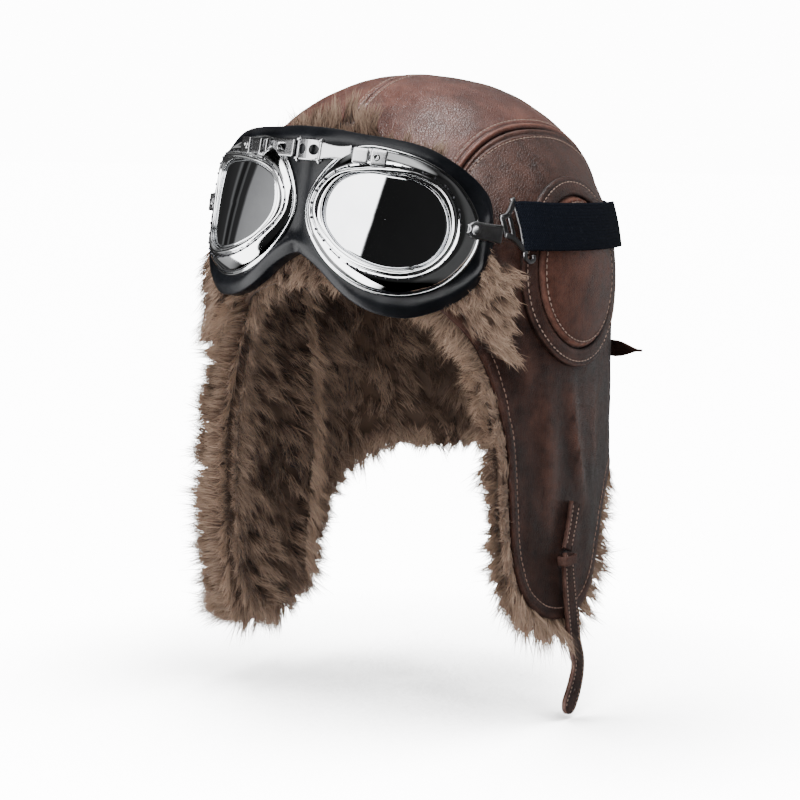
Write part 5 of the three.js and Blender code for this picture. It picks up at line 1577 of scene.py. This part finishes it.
def furBlades(rng, spots, normals, combs, length, count, spreadOut, rise, tipRise, tipShare, width, dark):
    # spots: clump centres; rise and tipRise: share of the normal in the direction at root and tip
    clumps = len(spots)
    length = np.broadcast_to(np.asarray(length, dtype=float), (clumps,))
    rise = np.broadcast_to(np.asarray(rise, dtype=float), (clumps,))[:, None]
    tipRise = np.broadcast_to(np.asarray(tipRise, dtype=float), (clumps,))[:, None]
    side = unit(np.cross(normals, combs))
    swirl = rng.normal(0, 0.26, (clumps, 1))
    lay = unit(combs + swirl * side)
    start = unit(normals * rise + lay * (1 - rise))
    end = unit(normals * tipRise + lay * (1 - tipRise) + side * rng.normal(0, 0.24, (clumps, 1)))
    turn = rng.uniform(0, turnAll, (clumps, count))
    far = spreadOut * np.sqrt(rng.uniform(0, 1, (clumps, count)))
    off = (side[:, None, :] * (np.cos(turn) * far)[..., None]
           + lay[:, None, :] * (np.sin(turn) * far)[..., None])
    close = tipShare * rng.uniform(0.4, 2.2, (clumps, 1, 1))
    size = length[:, None] * rng.uniform(0.62, 1.08, (clumps, count)) * (1 - 0.22 * (far / spreadOut) ** 2)
    stray = rng.normal(0, 0.10, (clumps, count, 3))
    s = np.array([0.0, 0.52, 1.0])
    line = []
    for share in s:
        course = start * share + (end - start) * share ** 2 / 2
        pull = 1 - (1 - close) * share ** 0.9
        line.append(spots[:, None, :] + off * pull + course[:, None, :] * size[..., None]
                    + stray * size[..., None] * share ** 2
                    - normals[:, None, :] * furSet["sink"] * (1 - share))
    line = np.stack(line, axis=2)
    ahead = unit(np.gradient(line, axis=2))
    spin = rng.normal(0, 0.7, (clumps, count, 1, 1))
    flat = unit(np.cross(ahead, normals[:, None, None, :] + 1e-4))
    up = np.cross(flat, ahead)
    across = flat * np.cos(spin) + up * np.sin(spin)
    half = (width * rng.uniform(0.75, 1.25, (clumps, count)))[..., None, None]
    half = half * np.array([0.5, 0.46])[:, None]
    left = line[:, :, :2] - across[:, :, :2] * half
    right = line[:, :, :2] + across[:, :, :2] * half
    points = np.concatenate([left, right, line[:, :, 2:]], axis=2).reshape(-1, 3)
    tone = np.empty((clumps, count, 5, 3))
    tone[..., 0] = np.array([s[0], s[1], s[0], s[1], 1.0])
    tone[..., 1] = np.clip(dark[:, None] + rng.normal(0, 0.12, (clumps, 1)), 0, 1)[..., None]
    tone[..., 2] = rng.uniform(0, 1, (clumps, count))[..., None]
    return points, tone.reshape(-1, 3)


def furPiece(name, *batches):
    # spreads past the widest place are drawn in softly
    points = np.concatenate([p for p, _ in batches])
    tone = np.concatenate([t for _, t in batches])
    out = np.abs(points[:, 0]) - furSet["widest"]
    over = np.where(out > 0, out - furSet["slack"] * np.tanh(out / furSet["slack"]), 0)
    points[:, 0] -= np.sign(points[:, 0]) * over
    base = np.arange(len(points) // 5)[:, None] * 5
    mesh = makeMesh(name, points, [base + np.array([0, 2, 3, 1]), base + np.array([1, 3, 4])], {"tone": tone})
    addPiece(name, mesh, brownFur, ())


def rimLoop():
    # lower edge of the lining all the way round from the middle of the brow
    across = 16
    half = {}
    for side in (1, -1):
        ribs = sideRibs(side)
        brow = crownPlace(seamHalf(0) * np.arange(across) / across, np.zeros(across))
        nape = crownPlace(seamHalf(3) * (1 - np.arange(1, across + 1) / across), np.full(across, 3.0))
        half[side] = [np.concatenate([brow[k], ribs[label], nape[k]])
                      for k, label in ((0, "topTheta"), (0, "lowTheta"), (1, "lowZ"))]
    right = [v[1:-1][::-1] for v in half[-1]]
    top, low = (np.concatenate([half[1][k], turnAll - right[k]]) for k in (0, 1))
    z = np.concatenate([half[1][2], right[2]])
    nextLow, lastLow = np.roll(low, -1), np.roll(low, 1)
    nextLow[-1] += turnAll
    lastLow[0] -= turnAll
    run = unit(np.stack([(nextLow - lastLow) * furSet["radius"], np.roll(z, -1) - np.roll(z, 1)], axis=-1))
    return {"top": top, "low": low, "z": z, "awayX": run[:, 1], "awayZ": -run[:, 0]}


rimEdge = rimLoop()
rimPoints = onShell(rimEdge["low"], rimEdge["z"], np.full(len(rimEdge["z"]), -6.0))
rimSteps = np.linalg.norm(np.roll(rimPoints, -1, axis=0) - rimPoints, axis=-1)
rimLength = np.concatenate([[0], np.cumsum(rimSteps)])


def rimRead(label, u):
    # value of the rim loop at a share of its length, closed
    values = rimEdge[label]
    last = values[0] + (turnAll if label in ("top", "low") else 0)
    return np.interp(u * rimLength[-1], rimLength, np.append(values, last))


def rimAway(u):
    x, z = rimRead("awayX", u), rimRead("awayZ", u)
    size = np.hypot(x, z)
    return x / size, z / size


def awayFrom(u, down, around):
    # direction out over the lower edge
    x, z = rimAway(u)
    return unit(around * x[:, None] - down * z[:, None])


def liningPlace(u, v, beyond=0.0):
    x, z = rimAway(u)
    theta = blendTo(rimRead("top", u), rimRead("low", u), np.minimum(v, 1)) + beyond * x / furSet["radius"]
    level = blendTo(furSet["ring"], rimRead("z", u), v) + beyond * z
    return theta, level


def liningBack():
    # soft skin under the inner fur, from the crown's top to the lower edge
    columns, skirt, dome = 132, 22, 12
    u = (np.arange(columns) / columns)[:, None]
    v = np.concatenate([np.linspace(0, 1, skirt), [1.0]])[None, :]
    beyond = np.concatenate([np.zeros(skirt), [2.2]])[None, :]
    theta, level = liningPlace(u, v, beyond)
    share = (furSet["ring"] - shell["widest"]) / (shell["top"] - shell["widest"])
    lowest = math.asin(share ** (shell["roundness"] / 2))
    rise = np.linspace(np.pi / 2 - 0.02, lowest, dome, endpoint=False)[None, :]
    high = (shell["top"] - shell["widest"]) * np.sin(rise) ** (2 / shell["roundness"])
    domeLevel = shell["widest"] + high
    theta = np.concatenate([rimRead("top", u) + 0 * rise, theta], axis=1)
    level = np.concatenate([domeLevel + 0 * u, level], axis=1)
    outer = -furSet["liftOut"] + 0 * level
    inner = outer - furSet["backing"]
    inner = inner - 0.9 * wave(onShell(theta, level, inner), 15, 2, 2.2)
    outer[:, -1] = -furSet["liftOut"] - 1
    inner[:, -1] = -furSet["liftOut"] - furSet["backing"] + 1
    piece = addSlab("fur_backing", onShell(theta, level, outer), onShell(theta, level, inner), feltBack,
                    ["fur_lining"], "fur", backTone, True)


def shellFrame(theta, level, lift):
    # place, outward normal, downward and forward directions on the shell
    spot = onShell(theta, level, lift)
    normal = shellNormal(theta, level)
    down = unit(onShell(theta, level - 1.0, lift) - spot)
    around = unit(onShell(theta + 0.01, level, lift) - spot)
    return spot, normal, down, around


# fold ridges inside the flaps, whose fur gets a painted highlight: places along Y with their strength and
# width
furRidges = [(10.0, 1.0, 6.5), (-34.0, 0.55, 8.0)]


def ridgeSway(level):
    return 5 * np.sin(level / 38)


def furTone(spots, low, high, ridges=False):
    # darkness of each clump from 0 to 1, in drifting patches, made lower on the ridges as a painted highlight
    dark = low + (high - low) * np.clip(0.5 + 0.75 * wave(spots, 26), 0, 1)
    if ridges:
        for place, strength, width in furRidges:
            dark = dark - strength * bump(spots[:, 1] + ridgeSway(spots[:, 2]), place, width)
    return np.clip(dark, 0, 1)


# step that spreads clumps evenly round a loop
goldenStep = 0.6180339887


def innerFur(rng, clumps, count):
    # even clumps over the inside skirt
    u = (np.arange(clumps) * goldenStep + rng.uniform(0, 0.002, clumps)) % 1
    tall = rimRead("z", u) - furSet["ring"]
    u = u[rng.uniform(0, 1, clumps) < np.abs(tall) / np.abs(tall).max()]
    v = (np.arange(len(u)) + rng.uniform(0, 1, len(u))) / len(u)
    v = rng.permutation(v) ** 0.92
    theta, level = liningPlace(u, v)
    lift = np.full(len(u), -furSet["liftOut"] - furSet["backing"] + 0.5)
    spot, normal, down, around = shellFrame(theta, level, lift)
    comb = unit(down + around * drifts(spot, 34)[:, None] * 1.3)
    flank = np.abs(spot[:, 0]) > 55
    ridge = sum(strength * bump(spot[:, 1] + ridgeSway(spot[:, 2]), place, width)
                for place, strength, width in furRidges) * flank
    length = rng.uniform(16, 23, len(u)) * (1 + 0.15 * ridge)
    # painted shade: fur deep in the crown, away from the flanks, is drawn darker; the flanks' ridges get a
    # painted highlight
    tone = np.where(flank, furTone(spot, 0.05, 0.8, True), furTone(spot, 0.45, 1.0))
    return furBlades(rng, spot, -normal, comb, length, count, spreadOut=4.6, rise=0.58 + 0.3 * ridge,
                     tipRise=0.14 + 0.2 * ridge, tipShare=0.24, width=0.46, dark=tone)


def edgeFur(rng, clumps, count, lift, rise, longest, shortest, inset, light=0.0, rightOnly=False):
    # fringe that leaves the lining all round its lower edge
    u = (np.arange(clumps) + rng.uniform(0.1, 0.9, clumps)) / clumps
    theta, level = liningPlace(u, np.ones(clumps), -inset)
    spot, normal, down, around = shellFrame(theta, level, np.full(clumps, lift))
    away = awayFrom(u, down, around)
    drift = wave(spot, 18, 2, np.array([3, 1, 4]))[:, None]
    along = np.cross(normal, away)
    sway = 0.9 * drift + rng.normal(0, 0.22, (clumps, 1))
    comb = unit(away + along * sway - down * 0.15 * (spot[:, :1] < 0))
    nape = smoothStep(60, 85, spot[:, 1])
    size = 1 - 0.35 * nape - 0.35 * smoothStep(-80, -95, spot[:, 1])
    length = rng.uniform(shortest, longest, clumps) * size * (1 + 0.35 * drift[:, 0])
    front = 0.3 * (spot[:, 1] < 10)
    # painted backlight: the nape fringe is drawn lighter
    tone = np.clip(furTone(spot, 0.0, 0.45) - 0.6 * nape - light - front, 0, 1)
    flare = np.where((spot[:, 0] < 0) & (spot[:, 1] < 40), 2.1, 1.0) * rise
    length = length * (1 + 0.25 * smoothStep(-225, -255, level))
    if rightOnly:
        keep = (spot[:, 0] < -30) & (spot[:, 1] < 40) & (level < -105)
        spot, normal, comb, length, tone, flare = (v[keep] for v in (spot, normal, comb, length, tone, flare))
    points, tone = furBlades(rng, spot, normal, comb, length, count, spreadOut=4.4, rise=flare,
                             tipRise=flare * 0.9, tipShare=0.2, width=0.4, dark=tone)
    tone[:, 0] = blendTo(furSet["paleEdge"], 1, tone[:, 0])
    return points, tone


def wrapFur(rng, clumps, count):
    # locks that roll over the leather's front edge on the wearer's right
    u = rng.uniform(0.5, 1.0, clumps * 6)
    theta, level = liningPlace(u, np.ones(len(u)), -rng.uniform(0.5, 7, len(u)))
    spot = onShell(theta, level, np.zeros(len(u)))
    keep = np.flatnonzero((spot[:, 1] < -25) & (level < -100))[:clumps]
    u, theta, level = u[keep], theta[keep], level[keep]
    spot, normal, down, around = shellFrame(theta, level, np.full(len(u), 0.6))
    comb = unit(awayFrom(u, down, around) - down * rng.uniform(-0.1, 0.8, (len(u), 1)))
    tone = furTone(spot, 0.0, 0.45)
    length = rng.uniform(13, 21, len(u))
    return furBlades(rng, spot, normal, comb, length, count, spreadOut=4.4, rise=0.34, tipRise=0.3,
                     tipShare=0.2, width=0.36, dark=tone)


def ridgeFur(rng, clumps, count):
    # raised line of locks down the inside of each flap, drawn pale as a painted highlight on the fold
    level = np.tile(np.linspace(-75, -262, clumps // 2), 2) + rng.normal(0, 1, clumps // 2 * 2)
    side = np.repeat([1, -1], clumps // 2)
    y = furRidges[0][0] + ridgeSway(level) + rng.normal(0, 0.8, len(level))
    theta = side * sideAngle(y, level)
    lift = np.full(len(level), -furSet["liftOut"] - furSet["backing"] - 12.0)
    spot, normal, down, around = shellFrame(theta, level, lift)
    comb = unit(down + around * rng.normal(0, 0.25, (len(level), 1)))
    length = rng.uniform(13, 17, len(level))
    # painted highlight: the ridge locks are drawn light
    litLocks = np.full(len(level), -0.25)
    points, tone = furBlades(rng, spot, -normal, comb, length, count, spreadOut=2.6, rise=0.5, tipRise=0.3,
                             tipShare=0.3, width=0.4, dark=litLocks)
    tone[:, 0] = blendTo(furSet["ridgeHighlight"], 1, tone[:, 0])
    return points, tone


def visorPlace(turn, share):
    out = np.abs(turn)
    lowest = blendTo(visorSet["bottom"], visorSet["endLevel"], smoothStep(0.55, 1, out))
    highest = (visorSet["top"] - 20 * smoothStep(0, 0.62, out) - 50 * smoothStep(0.62, 0.95, out))
    return turn * math.radians(visorSet["end"]), blendTo(lowest, highest, share)


def underPad(points, room):
    # points pushed back behind the face pad where they would pass through it
    along, up, lift = offGoggles(points)
    share = np.clip(np.abs(along) / padSet["halfSpan"], 0, 1)
    top, bottom = padLines(share)
    inside = np.minimum(np.minimum(up - bottom, top - up) + 1.5, (padSet["halfSpan"] - np.abs(along)) * 1.5)
    back = flangeLift(along) - padThickness(share) - padSet["rest"] - room
    over = (inside > 0) & (lift > back)
    moved = onGoggles(along, up, np.where(over, back, lift))
    return np.where(over[..., None], moved, points)


def visorBack():
    columns, rows = 120, 26
    turn = np.linspace(-0.985, 0.985, columns + 1)[:, None]
    share = np.linspace(0.03, 0.97, rows + 1)[None, :]
    theta, level = visorPlace(turn, share)
    full = np.sqrt(np.clip(1 - (2 * share - 1) ** 6, 0, 1)) * np.sqrt(np.clip(1 - turn ** 10, 0, 1))
    thick = visorSet["backing"] * full + 0.6
    thick = thick + 0.9 * wave(onShell(theta, level, thick * 0), 12, 2, 7.7) * full
    outer = underPad(onShell(theta, level, visorSet["rest"] + thick), visorSet["padGap"])
    inner = onShell(theta, level, visorSet["rest"] * 0.3 + 0 * thick)
    piece = addSlab("visor_backing", outer, inner, feltBack, ["fur_visor"], "fur", backTone)


def visorFur(rng, clumps, count):
    turn = rng.uniform(-0.99, 0.99, clumps)
    share = rng.uniform(0.02, 0.99, clumps)
    theta, level = visorPlace(turn, share)
    lift = np.full(clumps, visorSet["rest"] + visorSet["backing"] - 0.8)
    spot, normal, down, around = shellFrame(theta, level, lift)
    upright = smoothStep(0.35, 0.75, share) * (1 - smoothStep(0.5, 0.8, np.abs(turn)))
    outward = np.sign(turn) * smoothStep(0.55, 0.95, np.abs(turn))
    sway = (outward * 0.6 + 0.15 + 1.1 * drifts(spot, 16))[:, None]
    comb = unit(down * (1 - 2 * upright)[:, None] + around * sway)
    low = 1 - smoothStep(0.1, 0.4, share)
    length = rng.uniform(9.5, 14.5, clumps)
    length = length * (1 + 0.35 * np.abs(outward) * low + 0.45 * upright * smoothStep(0.7, 0.95, share))
    temple = smoothStep(-0.8, -0.97, turn)
    length = length * (1 + 0.5 * temple)
    rise = blendTo(blendTo(0.42, 0.5, upright), 0.75, temple)
    tone = np.clip(furTone(spot, 0.1, 0.7) - 0.15 * np.abs(outward), 0, 1)
    points, tone = furBlades(rng, spot, normal, comb, length, count, spreadOut=4.2, rise=rise, tipRise=0.3,
                             tipShare=0.22, width=0.42, dark=tone)
    return underPad(points, visorSet["padGap"] - 0.2), tone


def furPieces():
    rng = np.random.default_rng(41)
    liningBack()
    visorBack()
    furPiece("fur_inside_a", innerFur(rng, clumps=1800, count=36))
    furPiece("fur_inside_b", innerFur(rng, clumps=1800, count=36))
    outside = {"longest": 23, "shortest": 13, "light": 0.05}
    furPiece("fur_edge_outer",
             edgeFur(rng, clumps=340, count=60, lift=-3.4, rise=0.30, inset=2.5, **outside),
             wrapFur(rng, clumps=120, count=56),
             edgeFur(rng, clumps=520, count=56, lift=-6.5, rise=0.33, inset=-0.5, rightOnly=True, **outside))
    furPiece("fur_edge_inner",
             edgeFur(rng, clumps=330, count=56, lift=-8.5, rise=0.03, inset=3.0, longest=21, shortest=13),
             edgeFur(rng, clumps=280, count=40, lift=-12.0, rise=-0.2, inset=6.0, longest=19, shortest=12,
                     light=-0.1),
             ridgeFur(rng, clumps=110, count=44))
    furPiece("fur_visor_locks", visorFur(rng, clumps=860, count=40))


furPieces()
print("fur made")


# Studio: soft lights, a white floor and a room that is bright on the left and dark on the right
# azimuth in degrees from straight ahead towards the wearer's left, and the brightness that shiny pieces see
roomBands = [
    (-180, 0.05), (-152, 0.05), (-147, 0.01), (-139, 0.01), (-137, 0.06), (-131, 0.06), (-129, 0.004),
    (-118, 0.004), (-100, 0.004), (-88, 0.006), (-86, 0.03), (-83, 0.003), (-78, 0.003), (-76.5, 0.03),
    (-75, 0.005), (-68, 0.006), (-66, 0.055), (-36, 0.085), (-33, 1.0), (15.5, 1.0), (17, 0.002),
    (98, 0.003), (112, 0.012), (150, 0.012), (164, 0.05), (180, 0.05),
]
# windows in degrees: where the light starts, is full, begins to fall and ends
roomSet = {"bandPower": 7.0, "tilt": 1.45, "topPower": 1.0, "fill": 0.30, "panel": 1.3, "seen": 13.0,
           "bandRise": (-52.0, -36.0, 38.0, 52.0), "wallRise": (-78.0, -68.0, 62.0, 74.0),
           "panelTurn": (-70.0, -20.0, 15.0, 50.0)}
# name, place, target, size, power and the materials that it lights, where not all
# sheen lamps show in shine only, and the lamps that light everything never do
lampSet = [
    ("topLamp", (0.25, -0.55, 1.35), (0.0, -0.02, -0.08), (0.7, 0.7), 13.0, ()),
    ("leftLamp", (-1.5, -0.9, 0.55), (0.0, 0.0, -0.12), (0.7, 1.2), 16.0, ()),
    ("rimLamp", (0.9, 1.2, 0.9), (0.0, 0.0, -0.1), (0.8, 0.8), 6.0, ()),
    ("topSheen", (0.15, 0.0, 1.1), (0.0, -0.03, 0.0), (1.0, 0.35), 28.0, (crownLeather, flapLeather)),
    ("sideSheen", (0.75, -0.3, 0.85), (0.05, -0.05, -0.03), (0.35, 0.35), 12.0, (crownLeather, flapLeather)),
    ("backSheen", (0.45, 1.3, -0.05), (0.1, 0.0, -0.1), (0.25, 0.9), 1.0,
     (crownLeather, flapLeather, earLeather)),
    ("furLamp", (0.5, -1.3, -0.25), (-0.05, 0.0, -0.16), (0.8, 0.8), 7.0, (brownFur, feltBack)),
]


def addLight(name, place, target, size, power, only):
    data = bpy.data.lights.new(name, "AREA")
    data.shape = "RECTANGLE"
    data.size, data.size_y = size
    data.energy = power
    lamp = addObject(name, data)
    lamp.location = place
    lamp.rotation_euler = (Vector(target) - Vector(place)).to_track_quat("-Z", "Y").to_euler()
    lamp.visible_glossy = len(only) > 0
    lamp.visible_diffuse = "Sheen" not in name
    if only:
        group = bpy.data.collections.new(name + "Pieces")
        for item in bpy.data.objects:
            if item.type == "MESH" and any(slot.material in only for slot in item.material_slots):
                group.objects.link(item)
        lamp.light_linking.receiver_collection = group


def addRoom():
    world = bpy.data.worlds.new("studio")
    bpy.context.scene.world = world
    world.use_nodes = True
    tree = world.node_tree
    way = addNode(tree, "ShaderNodeTexCoord").outputs["Generated"]
    parts = addNode(tree, "ShaderNodeSeparateXYZ", {"Vector": way}).outputs
    rise = sums(tree, "MULTIPLY", sums(tree, "ARCSINE", parts["Z"]), 180 / math.pi)
    turn = sums(tree, "ARCTAN2", parts["X"], sums(tree, "MULTIPLY", parts["Y"], -1.0))
    turn = sums(tree, "MULTIPLY", turn, 180 / math.pi)
    lean = sums(tree, "MULTIPLY", spread(tree, rise, -12.0, 38.0, -25.0, 25.0), roomSet["tilt"])
    share = spread(tree, sums(tree, "SUBTRACT", turn, lean), -180.0, 180.0)
    ramp = addNode(tree, "ShaderNodeValToRGB", {"Fac": share})
    stops = ramp.color_ramp.elements
    for place, (azimuth, value) in enumerate(roomBands):
        at = (azimuth + 180) / 360
        stop = stops[place] if place < 2 else stops.new(at)
        stop.position = at
        stop.color = (value, value, value, 1)
    bright = ramp.outputs["Color"]

    def window(angle, start, full, falling, end):
        # 1 from full to falling, 0 outside start and end
        fall = spread(tree, angle, falling, end, 1.0, 0.0)
        return sums(tree, "MULTIPLY", spread(tree, angle, start, full), fall)

    tall = sums(tree, "MULTIPLY", spread(tree, bright, 0.5, 0.9), window(rise, *roomSet["wallRise"]))
    reach = sums(tree, "MAXIMUM", window(rise, *roomSet["bandRise"]), tall)
    bands = sums(tree, "MULTIPLY", sums(tree, "MULTIPLY", bright, roomSet["bandPower"]), reach)
    behind = spread(tree, sums(tree, "ABSOLUTE", turn), 60.0, 110.0)
    over = sums(tree, "MULTIPLY", behind, spread(tree, rise, 48.0, 62.0, 0.0, roomSet["topPower"]))
    panel = sums(tree, "MULTIPLY", window(turn, *roomSet["panelTurn"]), roomSet["panel"])
    path = addNode(tree, "ShaderNodeLightPath").outputs
    soft = sums(tree, "ADD", panel, roomSet["fill"])
    level = blend(tree, path["Is Glossy Ray"], soft, sums(tree, "ADD", bands, over))
    level = blend(tree, path["Is Camera Ray"], level, roomSet["seen"])
    put(tree, tree.nodes["Background"], {"Strength": level, "Color": colour(1, 1, 1)})


def blend(tree, share, a, b):
    return addNode(tree, "ShaderNodeMix", {0: share, 2: a, 3: b}, data_type="FLOAT").outputs[0]


def addFloor():
    span, level = 8.0, -0.3215
    mesh = bpy.data.meshes.new("floor")
    corners = [(x * span, y * span, level) for x, y in ((-1, -1), (1, -1), (1, 1), (-1, 1))]
    mesh.from_pydata(corners, [], [(0, 1, 2, 3)])
    floor = addObject("floor", mesh)
    material, tree, shader = newMaterial("floorPaper")
    mesh.materials.append(material)
    path = addNode(tree, "ShaderNodeLightPath").outputs
    # painted contact shadow: the glow the camera sees on the floor is darkened by ambient occlusion near the
    # helmet
    shade = addNode(tree, "ShaderNodeAmbientOcclusion", {"Distance": 0.2}, samples=8).outputs["AO"]
    glow = sums(tree, "POWER", spread(tree, shade, 0.2, 0.94), 5.0)
    glow = sums(tree, "MULTIPLY", glow, path["Is Camera Ray"])
    put(tree, shader, {"Base Color": colour(0.85, 0.85, 0.85), "Roughness": 0.9,
                       "Emission Color": colour(1, 1, 1),
                       "Emission Strength": sums(tree, "MULTIPLY", glow, roomSet["seen"])})
    through = addNode(tree, "ShaderNodeBsdfTransparent").outputs[0]
    both = addNode(tree, "ShaderNodeMixShader", {0: path["Is Glossy Ray"], 1: shader.outputs[0], 2: through})
    put(tree, next(n for n in tree.nodes if n.type == "OUTPUT_MATERIAL"), {"Surface": both.outputs[0]})


for lamp in lampSet:
    addLight(*lamp)
addRoom()
addFloor()
print("studio made")
